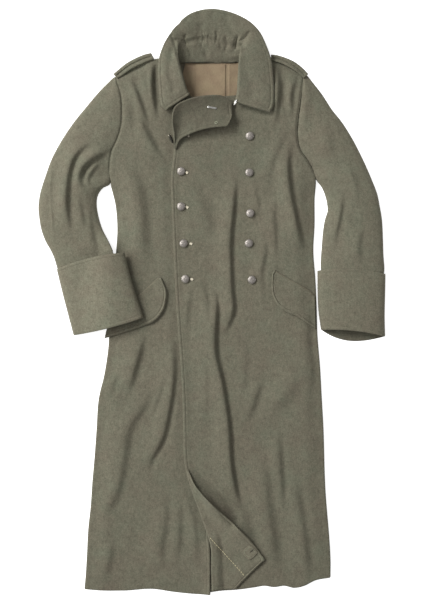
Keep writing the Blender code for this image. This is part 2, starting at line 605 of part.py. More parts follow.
def make_strap(side, table, collection):
    points, _ = grid(pair(table, "outer_x", "outer_y"), pair(table, "inner_x", "inner_y"), 4, 2)
    t = np.linspace(0, 1, 5)[None, :]
    arch = np.sin(np.linspace(0, math.pi, len(points)))[:, None]
    seat = front_top(points[..., 0], points[..., 1]) + LAY + EASE["strap"] + WOOL
    panel(f"shoulder_strap_{side}", points, seat + STRAP_RISE * arch * t, WOOL, "wool", collection)


def make_tab(hem_corner, collection):
    """The small rounded patch with a buttonhole, sewn inside the hem corner."""
    half = CORNER_TAB["size"] / 2
    columns = 6
    t = np.linspace(-1, 1, columns + 1)
    u, v = np.meshgrid(t, t, indexing="ij")
    squash = 1 - 0.16 * (u * v) ** 2
    u, v = u * half * squash, v * half * squash
    c, s = math.cos(CORNER_TAB["turn"]), math.sin(CORNER_TAB["turn"])
    points = np.stack((CORNER_TAB["x"] + u * c - v * s, CORNER_TAB["y"] + u * s + v * c), axis=-1)
    surface = surface_of(hem_corner)
    seat = np.array([[drop(surface, x, y) for x, y in row] for row in points])
    panel("corner_tab", points, seat + LAY + CORNER_TAB["thick"], CORNER_TAB["thick"], "wool", collection)


def make_neck(collection):
    lining = [(LINING["left"], LINING["bottom"]), (LINING["right"], LINING["bottom"]),
              (LINING["neck_right"], LINING["top"]), (LINING["neck_left"], LINING["top"])]
    flat_piece("neck_lining", lining, BACK_WOOL + SEAM, TWILL, "lining", collection)
    patch = [(NECK_PATCH["left"], NECK_PATCH["bottom"]), (NECK_PATCH["right"], NECK_PATCH["bottom"]),
             (NECK_PATCH["right"], NECK_PATCH["top"]), (NECK_PATCH["left"], NECK_PATCH["top"])]
    flat_piece("neck_patch", patch, BACK_WOOL + SEAM + TWILL + SEAM, PATCH, "lining", collection)


def make_button(name, x, y, collection):
    """A turned button: a flat back, a rolled rim and a low dome."""
    radius, height = BUTTON_DIAMETER / 2, BUTTON_HEIGHT
    profile = [(0, height), (0.55 * radius, 0.9 * height), (0.84 * radius, 0.66 * height),
               (0.88 * radius, 0.56 * height), (radius, 0.44 * height), (radius, 0.2 * height),
               (0.8 * radius, 0)]
    mesh = bpy.data.meshes.new(name)
    points = [(px * MM, 0, pz * MM) for px, pz in profile] + [(0, 0, 0)]
    mesh.from_pydata(points, [(k, k + 1) for k in range(len(points) - 1)], [])
    button = add_object(name, mesh, "metal", collection)
    turn = button.modifiers.new("turn", "SCREW")
    turn.steps = turn.render_steps = 14
    turn.use_merge_vertices = True
    turn.merge_threshold = 0.0001
    turn.use_smooth_shade = True
    ring = np.linspace(0, 2 * math.pi, 13)
    seat = float(front_top(x + radius * np.cos(ring), y + radius * np.sin(ring)).max())
    button.location = (x * MM, y * MM, (seat + LAY + EASE["button"]) * MM)
    return button


def wire_on(name, thing, size, collection):
    """A wire that lies straight across a piece, with filled ends."""
    surface = surface_of(thing)
    diameter = size["wire"]
    ends = ((size["x0"], size["y0"]), (size["x1"], size["y1"]))
    seats = [[x, y, drop(surface, x, y) + diameter / 2 + SEAM] for x, y in ends]
    middle = [(seats[0][k] + seats[1][k]) / 2 for k in (0, 1)]
    middle_seat = drop(surface, *middle) + diameter / 2 + SEAM
    spare = max(0, middle_seat - (seats[0][2] + seats[1][2]) / 2)
    route = [(x, y, z + spare) for x, y, z in seats]
    curve = bpy.data.curves.new(name, "CURVE")
    curve.dimensions = "3D"
    curve.bevel_depth = diameter / 2 * MM
    curve.bevel_resolution = 2
    curve.use_fill_caps = True
    spline = curve.splines.new("POLY")
    spline.points.add(len(route) - 1)
    for point, place in zip(spline.points, route):
        point.co = (*(value * MM for value in place), 1)
    curve.materials.append(make_material("metal"))
    piece = bpy.data.objects.new(name, curve)
    collection.objects.link(piece)
    return piece


def make_all():
    for thing in list(bpy.data.objects):
        bpy.data.objects.remove(thing)
    collection = bpy.data.collections.new(OBJECT_NAME)
    bpy.context.scene.collection.children.link(collection)
    make_back(collection)
    fronts = make_fronts(collection)
    make_sleeve("right", RIGHT_SLEEVE, RIGHT_SLEEVE_FOLDS, collection)
    make_sleeve("left", LEFT_SLEEVE, LEFT_SLEEVE_FOLDS, collection)
    make_cuff("right", RIGHT_CUFF, collection)
    make_cuff("left", LEFT_CUFF, collection)
    bpy.context.view_layer.update()
    collar = make_collar(fronts, collection)
    lapel_corner = turned_corner("lapel_corner", LAPEL, 5, 2, collection)
    hem_corner = turned_corner("hem_corner", HEM_CORNER, 6, 1, collection)
    bpy.context.view_layer.update()
    make_tab(hem_corner, collection)
    wire_on("collar_hook", collar, HOOK, collection)
    wire_on("collar_eye_bar", lapel_corner, EYE_BAR, collection)
    make_flap("right", RIGHT_FLAP, collection)
    make_flap("left", LEFT_FLAP, collection)
    make_strap("right", RIGHT_STRAP, collection)
    make_strap("left", LEFT_STRAP, collection)
    make_neck(collection)
    count = {"left": 0, "right": 0}
    for side, x, y in BUTTONS["rows"]:
        count[side] += 1
        make_button(f"button_{side}_{count[side]}", x, y, collection)


make_all()
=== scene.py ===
"""The looks of a double-breasted military greatcoat of field-grey wool, laid out flat on its back.

The coat lies on z = 0 with its collar towards +Y and its left front towards +X. Every piece of cloth is a
thin shell: a fine grid of points for its face, another for its inside, and a rounded rim between them.
Tables and formulas are in millimetres, and the meshes are in metres. Heights come from the same rules as
the solids: the lie of the cloth, the panels below, and the folds, which are placed one by one."""

import math

import bpy
import numpy as np
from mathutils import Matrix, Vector
from mathutils.bvhtree import BVHTree


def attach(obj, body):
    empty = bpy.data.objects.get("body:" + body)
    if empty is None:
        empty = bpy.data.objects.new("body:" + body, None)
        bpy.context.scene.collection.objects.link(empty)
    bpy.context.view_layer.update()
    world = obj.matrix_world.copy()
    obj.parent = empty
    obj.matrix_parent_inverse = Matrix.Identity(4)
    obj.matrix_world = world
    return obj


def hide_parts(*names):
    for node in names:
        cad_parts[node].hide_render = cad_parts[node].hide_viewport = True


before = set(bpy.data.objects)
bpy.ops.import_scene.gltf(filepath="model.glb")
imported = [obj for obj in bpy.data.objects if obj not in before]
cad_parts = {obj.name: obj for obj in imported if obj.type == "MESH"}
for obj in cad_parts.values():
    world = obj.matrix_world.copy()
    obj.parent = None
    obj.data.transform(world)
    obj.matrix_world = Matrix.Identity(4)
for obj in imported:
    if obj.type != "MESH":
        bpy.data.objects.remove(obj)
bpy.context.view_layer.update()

MM = 0.001
WOOL = 2.8            # thickness of the melton wool
BACK_WOOL = 2.6       # the back and the undersides, pressed flat by their own weight
COLLAR_WOOL = 4.4     # two layers and their seam
TWILL = 1.4           # neck lining
PATCH = 0.8           # bare patch on the lining
SEAM = 0.3            # gap between pieces
LAY = SEAM + 0.15     # gap between a panel and what it lies on
# More of it under a piece that bends over another one.
EASE = dict(overlap=0.35, collar=0.1, flap=0.5, strap=0.3)
FLAT_TOP = BACK_WOOL + LAY + WOOL      # top of one layer of wool that lies on the back
STEP_ACROSS = 2.9     # spacing of the grids, from one edge to the other
STEP_ALONG = 4.8      # and along the edges
CORNER_STEP = 3.2     # the same both ways on a turned corner
STITCHED_EDGE = (0, 0.7, 1.6, 2.8, 4.2, 5.4, 6.3, 7.0, 7.7, 8.6, 10.5)   # grid lines near a topstitched edge
PLAIN_EDGE = (0, 0.7, 1.6, 2.8, 4.4, 6.6)
ROUND_EDGE = (0, 0.6, 1.6, 3.0, 5.0, 7.5, 10.5, 14)
CUFF_EDGE = (0, 0.6, 1.6, 3.0, 5.0, 8.0)
FOLDED_EDGE = (0, 1.2, 2.6, 4.4)
STRAP_EDGE = (0, 0.6, 1.4)
TOPSTITCH = 7.0       # distance of a topstitched row from its edge

# Right front (the underlap), one row for each level from the shoulder to the hem: side edge, then front edge.
RIGHT_FRONT = dict(
    columns=("side_x", "side_y", "front_x", "front_y"),
    rows=[
        (-130, 582, -96, 575), (-161, 572, -86, 551), (-197, 557, -74, 522), (-229, 538, -55, 493),
        (-217, 496, -18, 482), (-214, 460, 30, 478), (-216, 421, 67, 431), (-226, 388, 91, 383),
        (-240, 356, 96, 349), (-245, 316, 96, 311), (-241, 277, 96, 272), (-230, 229, 96, 229),
        (-226, 172, 96, 172), (-230, 109, 96, 109), (-238, 40, 94, 40), (-245, -32, 91, -32),
        (-247, -104, 89, -104), (-257, -174, 84, -174), (-271, -236, 77, -236), (-276, -308, 67, -308),
        (-281, -376, 53, -376), (-286, -433, 34, -433), (-290, -491, 8, -491), (-296, -548, -7, -544),
        (-299, -608, -4.5, -604), (-302, -656, -4, -660), (-305, -689, -5, -702),
    ],
)

# Left front (the overlap): front edge or fold, then side edge.
LEFT_FRONT = dict(
    columns=("front_x", "front_y", "side_x", "side_y"),
    rows=[
        (84, 577, 130, 582), (82, 546, 161, 577), (78, 512, 192, 565), (50, 478, 218, 546),
        (22, 489, 214, 508), (-18, 488, 209, 469), (-50, 482, 204, 433), (-87, 464, 203, 397),
        (-95, 430, 209, 364), (-90, 372, 228, 335), (-97, 300, 247, 296), (-96, 244, 245, 244),
        (-94, 184, 245, 184), (-91, 121, 242, 119), (-88, 52, 247, 52), (-84, -20, 250, -16),
        (-79, -88, 252, -83), (-74, -160, 258, -155), (-70, -232, 262, -227), (-68, -304, 266, -299),
        (-67, -365, 268, -361), (-60, -410, 269, -404), (-41, -465, 271, -452), (-22, -524, 275, -505),
        (-3, -584, 280, -563), (-1, -640, 283, -616), (0, -692, 283, -661),
    ],
)
OVERLAP_ROWS = 9      # rows of the left front above its straight front edge

# Hem of each front.
RIGHT_HEM = dict(columns=("x", "y"), rows=[
    (-305, -689), (-259, -692), (-211, -692), (-139, -688), (-91, -695), (-43, -700), (-5, -702)])
LEFT_HEM = dict(columns=("x", "y"), rows=[
    (0, -692), (53, -690), (101, -684), (125, -680), (149, -683), (173, -680), (197, -685), (221, -680),
    (245, -668), (283, -661)])
HEM_REACH = 90        # height over which a panel is drawn down to its hem
BACK_SHORTER = 1.5    # how far the back's hem lies above the fronts'

# Height of the fronts by level: the top at the side edge, and the top of the lie of the cloth.
FRONT_LIE = dict(
    columns=("y", "side_z", "lie_z"),
    rows=[
        (-702, FLAT_TOP, 6.2), (-660, FLAT_TOP, 8.5), (-600, FLAT_TOP, 10.5), (-430, FLAT_TOP, 11.5),
        (-100, FLAT_TOP, 12), (100, FLAT_TOP, 13), (280, 7, 14), (320, 12, 15), (400, 15, 16),
        (500, 15, 16), (540, 9, 13), (560, 8, 12), (585, 7, 10),
    ],
)
SIDE_ROLL = 48        # width over which a front rises from its side seam
FRONT_STEP = 40       # width of the underlap that bears the overlap's edge
PRESSED = dict(past=4, top=430, fade=60)      # past that edge and below this level it is pressed flat
BEARING = dict(past=-24, width=22, sink=2.0)  # and sinks a little before it
OVERLAP_STEP = dict(height=2.0, width=45)     # how the overlap rises from its edge
OVERLAP_CALM = 30     # width along that edge in which its folds die away
UNDERLAP_END = dict(past=14, width=30)        # where the overlap comes down past the underlap's edge
EDGE_CURL = dict(height=5.5, width=13, top=-535, length=60)   # the underlap's free edge at the hem

# Folds. Each row's path follows the fold's dark line from top to bottom. The crest lies to its left, the
# cloth drops at it to a trough on its right, and both widths say how fast that dies away.
FOLD_COLUMNS = ("path", "rise", "trough", "left_width", "right_width")
FOLD_FADE = 90        # length over which a fold dies away at each end, at most this share of it
FADE_SHARE = 0.45
FOLD_DEPTH = 1.15     # the folds of the thin shell are deeper than the solids' ones by this much
FOLD_CRISPNESS = 0.84 # share of their right width over which they drop
LEFT_FOLDS = dict(columns=FOLD_COLUMNS, rows=[
    (((60, 311), (55, 232), (47, 140), (50, 32), (54, -16), (41, -59), (17, -97)), 7.5, 3, 26, 8),
    (((5, 40), (14, -8), (11, -68), (12, -126), (29, -200), (43, -296), (48, -380), (58, -443),
     (74, -505)), 9, 4, 34, 7.5),
    (((-58, -380), (-46, -416), (-24, -444), (-2, -466), (18, -490), (38, -514),
     (62, -540)), 13, 5, 15, 12),
    (((160, -290), (166, -380), (170, -433), (174, -530)), 4, 2, 24, 12),
    (((115, -352), (134, -424), (144, -512), (166, -664)), 6, 2, 34, 20),
    (((196, -400), (216, -505), (228, -584), (238, -690)), 4.5, 2, 30, 15),
    (((66, -440), (80, -500), (90, -560), (104, -640)), 4, 1.5, 30, 22),
    (((127, -164), (113, -217), (96, -265), (72, -308)), 4, 1.5, 24, 12),
    (((250, -164), (211, -200), (173, -241), (130, -289)), 5, 1, 34, 26),
    (((192, 388), (185, 328), (190, 268), (199, 220), (211, 167), (226, 114)), 9, 4, 26, 9),
    (((185, 421), (166, 376), (146, 328), (134, 263)), 3, 1, 20, 10),
    (((158, 272), (151, 208), (154, 148), (149, 80)), 3, 1, 18, 9),
    (((125, 181), (130, 124), (120, 64), (125, -1)), 3.5, 1, 18, 9),
    (((98, 296), (106, 263), (113, 220), (108, 181)), 2, 0.5, 14, 9),
    (((-53, 301), (-26, 256), (-7, 208), (7, 128)), 3, 1, 40, 20),
    (((-26, 66), (-14, 23), (-10, -20), (-14, -68)), 2.5, 1, 16, 9),
    (((-36, 52), (-50, 13), (-58, -44), (-60, -121)), 2.5, 1, 14, 10),
    (((-19, -104), (-12, -164), (-10, -236), (-14, -313)), 2, 0.5, 18, 10),
    (((74, -68), (84, -140), (74, -224), (67, -284)), 2, 0.5, 22, 14),
    (((240, 4), (233, -80), (242, -169), (233, -260)), 2.5, 1, 18, 12),
    (((176, 556), (168, 510), (172, 462), (180, 425)), 4, 2, 16, 9),
    (((158, 590), (161, 535), (160, 480), (154, 410)), 8, 4, 14, 10),
    (((208, 550), (192, 495), (194, 430)), 5, 2, 14, 9),
])
RIGHT_FOLDS = dict(columns=FOLD_COLUMNS, rows=[
    (((-79, -73), (-82, -136), (-89, -200), (-106, -296), (-120, -340), (-142, -378),
     (-156, -424)), 6, 3, 28, 9),
    (((-182, 460), (-158, 412), (-132, 366), (-101, 323)), 7, 2, 26, 11),
    (((-216, 344), (-182, 301), (-166, 253), (-158, 191), (-156, 133), (-142, 71)), 7, 1.5, 30, 22),
    (((-156, -59), (-168, -116), (-182, -167), (-204, -241)), 7, 2, 26, 12),
    (((-130, -188), (-161, -256), (-194, -304), (-206, -380), (-226, -467),
     (-274, -534)), 5, 1.5, 30, 15),
    (((-113, -155), (-118, -203), (-134, -251), (-156, -294)), 2.5, 1, 16, 9),
    (((-113, -443), (-108, -520), (-118, -592), (-113, -664)), 4, 1, 26, 14),
    (((-230, -553), (-240, -611), (-254, -678)), 3.5, 1, 24, 13),
    (((-82, -457), (-74, -548), (-86, -649)), 3, 1, 20, 12),
    (((-216, -155), (-233, -198), (-247, -246)), 2.5, 1, 18, 10),
    (((-53, -476), (-38, -548), (-31, -635)), 2.5, 0.5, 16, 10),
    (((-202, 253), (-206, 191), (-199, 119)), 2.5, 0.5, 16, 12),
    (((-190, 503), (-194, 455), (-187, 392)), 3, 1, 18, 14),
    (((-135, 600), (-140, 535), (-137, 485), (-128, 425)), 8, 5, 16, 8),
    (((-200, 555), (-178, 500), (-162, 455), (-146, 405)), 6, 2, 16, 9),
    (((-166, 566), (-158, 520), (-152, 480)), 3, 1, 12, 8),
])
RIGHT_SLEEVE_FOLDS = dict(columns=FOLD_COLUMNS, rows=[
    (((-274, 383), (-305, 366), (-326, 342), (-338, 306), (-343, 263), (-343, 220),
     (-334, 157)), 9, 4, 22, 9),
    (((-223, 380), (-245, 359), (-274, 342), (-300, 323), (-312, 299), (-307, 277),
     (-286, 260)), 10, 5, 16, 9),
    (((-250, 344), (-269, 328), (-286, 308), (-293, 289), (-283, 270)), 5, 2, 9, 6),
    (((-293, 236), (-288, 191), (-281, 148), (-271, 114)), 3, 1, 14, 8),
    (((-319, 263), (-312, 229), (-305, 191), (-305, 152)), 3, 1, 12, 8),
    (((-365, 364), (-379, 311), (-389, 253), (-391, 191)), 2.5, 0.5, 14, 12),
])
LEFT_SLEEVE_FOLDS = dict(columns=FOLD_COLUMNS, rows=[
    (((319, 277), (312, 234), (305, 191), (288, 114)), 6, 2, 26, 9),
    (((322, 340), (343, 296), (355, 239)), 3, 1, 20, 12),
    (((235, 512), (226, 455), (233, 392)), 4, 1, 16, 16),
    (((365, 191), (353, 133), (358, 76)), 3.5, 1, 22, 12),
    (((264, 436), (283, 388), (293, 330)), 2.5, 0.5, 20, 14),
    (((209, 364), (226, 349), (242, 325)), 4, 2, 10, 7),
])

# Sleeves, from the shoulder to the cuff: outer edge, inner edge, top at the inner edge, crown.
SLEEVE_COLUMNS = ("outer_x", "outer_y", "inner_x", "inner_y", "inner_z", "crown")
RIGHT_SLEEVE = dict(columns=SLEEVE_COLUMNS, rows=[
    (-236, 536, -229, 538, 9, 1), (-269, 503, -217, 496, 15, 8), (-302, 464, -214, 460, 15, 13),
    (-331, 428, -216, 421, 15, 16), (-358, 388, -226, 388, 14, 18), (-382, 344, -240, 356, 12, 19),
    (-398, 301, -245, 316, 10, 20), (-410, 263, -243, 284, FLAT_TOP, 21),
    (-415, 229, -262, 272, FLAT_TOP, 22), (-413, 200, -274, 253, FLAT_TOP, 22),
    (-408, 172, -276, 229, FLAT_TOP, 22), (-398, 145, -271, 200, FLAT_TOP, 22),
    (-386, 124, -262, 172, FLAT_TOP, 22), (-377, 104, -247, 143, FLAT_TOP, 22),
    (-371, 84, -237, 121, FLAT_TOP, 20),
])
LEFT_SLEEVE = dict(columns=SLEEVE_COLUMNS, rows=[
    (226, 543, 218, 546, 9, 1), (262, 497, 214, 508, 15, 8), (286, 460, 209, 469, 15, 13),
    (310, 430, 204, 433, 15, 16), (334, 392, 203, 397, 14, 18), (353, 356, 209, 364, 12, 19),
    (370, 320, 228, 335, 10, 20), (384, 287, 247, 296, FLAT_TOP, 21),
    (395, 258, 264, 272, FLAT_TOP, 22), (401, 229, 274, 244, FLAT_TOP, 22),
    (406, 200, 277, 217, FLAT_TOP, 22), (408, 174, 271, 198, FLAT_TOP, 22),
    (409, 145, 266, 169, FLAT_TOP, 22), (410, 112, 263, 133, FLAT_TOP, 22),
    (412, 85, 260, 92, FLAT_TOP, 20),
])

# Cuffs, from their top edge to their mouth: outer edge, inner edge, bow of the edge between them.
CUFF_COLUMNS = ("outer_x", "outer_y", "inner_x", "inner_y", "bow", "crown")
RIGHT_CUFF = dict(columns=CUFF_COLUMNS, rows=[
    (-371, 77, -209, 115, 7, 20), (-359, 27, -197, 66, 4, 19), (-345, -27, -181, 12, 0, 20),
    (-331, -80, -164, -38, -4, 18)])
LEFT_CUFF = dict(columns=CUFF_COLUMNS, rows=[
    (415, 65, 253.5, 73, 9, 17), (414, 16, 254, 27, 5, 19), (413, -34, 256, -21, 2, 20),
    (414, -83, 262, -67, 6, 19)])
ARMHOLE_GAP = SEAM + 0.9   # between a sleeve and the front beside it
SLEEVE_LEVEL = 85     # length over which a sleeve comes level with the cuff that it runs into
CUFF_LIP = dict(right=5, left=16)   # how far the underside of a cuff's mouth shows past its top
# How a sleeve runs on inside its cuff: distance past its last row, and how far each side draws in.
SLEEVE_TUCK = dict(columns=("run", "narrowing"), rows=[(6, 0.3), (12, 0.8), (17, 2.0), (23, 9.0)])
CUFF_STEP = 1.2       # how far a cuff stands over its sleeve
CUFF_FULLNESS = 0.36  # below a half, a cuff rises steeply from its edges
CUFF_CLIMB = dict(start_x=-322, width=88, height=19.5)   # the right cuff climbs on to the front and its flap

# Collar, from its right end round the back of the neck to its left end: neck seam, roll, outer edge, heights.
COLLAR = dict(
    columns=("neck_x", "neck_y", "neck_z", "roll_x", "roll_y", "roll_z", "edge_x", "edge_y", "edge_z"),
    rows=[
        (-62, 492, 17, -52, 493, 28, -109, 456, 27), (-73, 508, 17, -61, 509, 32, -121, 470, 27),
        (-84, 532, 17, -69, 537, 36, -126, 508, 26), (-90, 556, 15, -77, 566, 38, -128, 546, 27),
        (-89, 570, 12.5, -83, 596, 36, -126, 581, 29), (-74, 571, 9.1, -80, 618, 32, -117, 608, 31),
        (-58, 571, 9.1, -66, 629, 28, -107, 627, 33), (-38, 571, 9.1, -44, 632, 26, -86, 654, 35),
        (-17, 571, 9.1, -22, 635, 25.5, -48, 684, 36), (2, 571, 9.1, 4, 632, 25.5, -2, 694, 36),
        (24, 571, 9.1, 30, 627, 25.5, 43, 686, 36), (46, 571, 9.1, 55, 623, 26.5, 83, 668, 35),
        (65, 574, 8.7, 72, 618, 29, 109, 645, 33), (78, 566, 17.5, 68, 601, 34.5, 125, 618, 31),
        (84, 543, 20, 64, 575, 38, 138, 584, 30), (82, 517, 21, 62, 544, 38, 144, 544, 30),
        (76, 497, 21, 60, 510, 36, 147, 505, 31), (72, 487, 21, 57, 490, 34.5, 146, 470, 32),
        (66, 477, 21, 54, 476, 33, 138, 450, 32),
    ],
)
ROLL_RADIUS = 6.5
COLLAR_SECTIONS = 250 # along the collar, with some more near both ends
COLLAR_ENDS = (0, 0.03, 0.07, 0.12, 0.18)
COLLAR_POINTS = 64    # in each section
BEHIND_NECK = dict(level=552, fade=16, sink=3.2, run=12)   # the neck seam lies lower behind the neck
NECK_ON_FRONTS = 560  # below this level the neck seam lies on a front
# Gathers across the crease behind the neck: place along x, half width, depth, and how far up the collar.
PUCKERS = dict(columns=("x", "half_width", "depth", "up"), rows=[
    (-66, 6, 2.5, 2), (-46, 5, 2.0, -6), (-25, 7, 3.0, -2), (-4, 5, 2.0, 1), (13, 5, 1.5, 2),
    (32, 6, 2.5, -8), (58, 5, 3.0, -4), (76, 5, 3.0, 3)])
# Creases of the collar, seen from above: path, half width, depth. The first lies just below its roll behind
# the neck, and the short ones that cross it are its gathers.
COLLAR_CREASES = dict(columns=("path", "half_width", "depth"), rows=[
    (((-86, 626), (-72, 621), (-61, 618), (-37, 624), (-12, 626), (15, 620), (37, 613), (58, 609),
      (72, 610)), 5, 4.6),
    (((-62, 637), (-64, 630), (-61, 618)), 3, 2.8), (((-34, 634), (-31, 627), (-34, 616)), 3.4, 1.6),
    (((-21, 640), (-18, 630), (-22, 614)), 3.4, 2.6), (((-8, 634), (-10, 627), (-6, 616)), 3, 1.6),
    (((1, 637), (-1, 627), (2, 616)), 3, 1.4), (((10, 641), (12, 632), (8, 618)), 3, 2.2),
    (((22, 632), (18, 624), (21, 612)), 3, 1.8), (((34, 628), (37, 616), (32, 602)), 3.6, 2.2),
    (((61, 630), (58, 620), (55, 606)), 4.2, 5.5), (((88, 640), (78, 628), (68, 622)), 3.6, 3.6),
    (((-97, 634), (-88, 612), (-83, 586)), 4, 3.5), (((-60, 612), (-54, 602), (-50, 590)), 6, 2.5),
    (((-26, 612), (-16, 602), (-14, 590)), 6, 3.0), (((22, 606), (36, 598), (50, 594)), 6, 3.2),
    (((-30, 684), (-24, 662), (-28, 646)), 9, 1.6), (((34, 678), (42, 656), (50, 634)), 9, 2.0),
    (((-84, 660), (-74, 646), (-62, 638)), 8, 2.0), (((70, 560), (88, 530), (98, 494)), 14, 2.0),
    (((-95, 596), (-101, 552), (-90, 504)), 8, 3.4)])

# Turned-out top corner of the left front: its fold, its free edge, and how far it stands over the front.
LAPEL = dict(
    columns=("fold_x", "fold_y", "edge_x", "edge_y", "fold_lift", "dip_lift", "edge_lift"),
    rows=[
        (-89, 366, -86, 363, 0.3, 0.3, 0.3), (-89, 396, -77, 385, 4, 1, 5), (-93, 430, -56, 397, 7, 0.8, 9),
        (-85, 462, -29, 407, 8, 0.8, 12), (-50, 480, 0, 413, 8, 0.8, 14), (-18, 486, 20, 415, 8, 0.8, 15),
        (20, 487, 37, 418, 7, 1, 15), (48, 474, 47, 440, 4, 2, 12),
    ],
)

# Turned-back hem corner of the left front: its fold, its free edge, and how far it stands over the front.
HEM_CORNER = dict(
    columns=("fold_x", "fold_y", "edge_x", "edge_y", "fold_lift", "dip_lift", "edge_lift"),
    rows=[
        (-60, -402, -57, -402, 0.3, 0.3, 0.3), (-51, -438, -38, -442, 3, 3, 8),
        (-37, -477, 2, -484, 4, 4, 14), (-19, -524, 47, -526, 5, 3, 12),
        (0, -584, 90, -569, 5, 2, 6), (1, -620, 117, -604, 5, 2, 3),
        (1, -630, 125, -616, 5, 2, 3), (1, -638, 117, -624, 5, 2, 3), (2, -662, 84, -657, 4, 1.5, 2),
        (3, -688, 56, -687, 3, 1, 1.5),
    ],
)
CORNER_ROLL = 3.2     # radius of the roll along the fold of a turned corner
# The left front is sunk beside the free edge of its hem corner.
CORNER_SINK = dict(path=((-52, -408), (-36, -430), (-14, -452), (8, -476), (27, -504), (49, -526)),
                   depth=12, width=12)
CORNER_TAB = dict(x=90.5, y=-598.5, size=29, turn=math.radians(-49), thick=2.5)
# Line of the stitches round the tab, as shares of half its stitched size.
TAB_STITCHING = ((1, -0.55), (0.1, -0.92), (-0.86, -0.86), (-0.95, 0), (-0.86, 0.86), (0.1, 0.92), (0.9, 0.8))
FACING_ROW = dict(x0=-5, y0=-563, x1=84, y1=-662)    # yellow stitches along the facing's inner edge

# Pocket flaps, from the front end to the side seam: top seam, then lower edge.
FLAP_COLUMNS = ("seam_x", "seam_y", "edge_x", "edge_y")
RIGHT_FLAP = dict(columns=FLAP_COLUMNS, rows=[
    (-127, 58, -122, 55), (-137, 49, -110, 26), (-148, 39, -111, -2), (-160, 28, -120, -27),
    (-173, 17, -139, -47), (-196, 0, -160, -56), (-220, -17, -201, -70), (-244, -34, -256, -87)])
LEFT_FLAP = dict(columns=FLAP_COLUMNS, rows=[
    (149, 75, 145, 68), (158, 69, 143, 40), (170, 62, 146, 14), (184, 54, 158, -9), (202, 44, 180, -25),
    (220, 34, 205, -36), (234, 25, 229, -52), (245, 14, 247, -64)])
FLAP_LIFT = 3.0       # how far the lower edge of a flap stands off the front

# Shoulder straps, seen along their edge, from the sleeve to the collar: outer edge, then inner edge.
STRAP_COLUMNS = ("outer_x", "outer_y", "inner_x", "inner_y")
RIGHT_STRAP = dict(columns=STRAP_COLUMNS, rows=[
    (-235, 544, -226, 534), (-219, 558, -208, 546), (-202, 571, -190, 558), (-180, 583, -170, 568),
    (-160, 591, -153, 575), (-146, 594, -139, 579)])
LEFT_STRAP = dict(columns=STRAP_COLUMNS, rows=[
    (229, 544, 219, 535), (216, 558, 205, 547), (198, 572, 189, 558), (177, 582, 170, 568),
    (158, 588, 154, 574), (142, 590, 141, 577)])
STRAP_RISE = 6        # how far the middle of a strap's inner edge stands off the front

BUTTONS = dict(columns=("column", "x", "y"), rows=[
    ("right", -74, 311), ("right", -74, 227), ("right", -68, 139), ("right", -64, 54),
    ("left", 90, 395), ("left", 89, 308), ("left", 91, 211), ("left", 88, 139), ("left", 95, 52)])
BUTTON_DIAMETER = 19.5
BUTTON_HEIGHT = 6.2
# Neck lining and the patch on it: left edge, then right edge.
LINING_COLUMNS = ("left_x", "left_y", "right_x", "right_y")
LINING_EDGES = dict(columns=LINING_COLUMNS, rows=[(-62, 575, 66, 575), (-92, 470, 84, 470)])
PATCH_EDGES = dict(columns=LINING_COLUMNS, rows=[(-38, 568, 31, 568), (-38, 489, 31, 489)])
EYE_BAR = dict(x0=-12, y0=463, x1=12, y1=459, wire=2.1)
HOOK = dict(x0=58, y0=480, x1=53, y1=466, wire=2.1)
# Small pale knots of thread on the fronts: one for each button's stay on the underlap side, and the top one.
KNOTS = dict(columns=("x", "y", "size"), rows=[
    (-56, 395, 4.6), (-60, 308, 6.4), (-59, 225, 6.4), (-50, 138, 6.4), (-48, 53, 6.4), (-102, 397, 4.8)])
BUTTONHOLE = dict(x=-98, y=389, length=24, width=8, turn=math.radians(-66))
EYELET = dict(x=10, y=425, outer=3.8, inner=2.0)


# Tables and curves

def column(table, name):
    """One named column of a table, as an array."""
    return np.array([row[table["columns"].index(name)] for row in table["rows"]], dtype=float)


def pair(table, x_name, y_name):
    """Two named columns as points in the plane."""
    return np.column_stack((column(table, x_name), column(table, y_name)))


def edges(table):
    """Both edges of a piece, which are the first four columns of its table."""
    names = table["columns"]
    return pair(table, *names[:2]), pair(table, *names[2:4])


def through(keys, values, at):
    """A smooth curve through a table's rows, read anywhere: a cubic between each two rows, with the mean
    slope of its neighbours at each row. Before the first row and after the last it is level."""
    at = np.clip(at, keys[0], keys[-1])
    k = np.clip(np.searchsorted(keys, at, side="right") - 1, 0, len(keys) - 2)
    slopes = np.gradient(values, keys)
    span = keys[k + 1] - keys[k]
    t = (at - keys[k]) / span
    return (values[k] * (1 + 2 * t) * (1 - t) ** 2 + slopes[k] * span * t * (1 - t) ** 2
            + values[k + 1] * t * t * (3 - 2 * t) - slopes[k + 1] * span * t * t * (1 - t))


def read(table, key, value, at, first_row=0):
    """A column read smoothly at any place along another one."""
    keys, values = column(table, key)[first_row:], column(table, value)[first_row:]
    order = np.argsort(keys)
    return through(keys[order], values[order], np.asarray(at, dtype=float))


def at_rows(table, name, at):
    """A column read smoothly at row numbers, upright like a column of a grid."""
    return through(np.arange(len(table["rows"]), dtype=float), column(table, name), at)[:, None]


def along_rows(points, at):
    """A smooth line through an edge's points, read at row numbers that may lie between rows."""
    steps = np.arange(len(points), dtype=float)
    return np.column_stack([through(steps, points[:, k], at) for k in range(points.shape[1])])


def smooth(t):
    t = np.clip(t, 0, 1)
    return t * t * (3 - 2 * t)


def soft_max(a, b, round_off=1.0):
    """The larger of two heights, never below either, rounded where they cross."""
    return 0.5 * (a + b + np.sqrt((a - b) ** 2 + round_off ** 2))


def bell(distance, width):
    return np.exp(-((distance / width) ** 2))


# The lie of the cloth

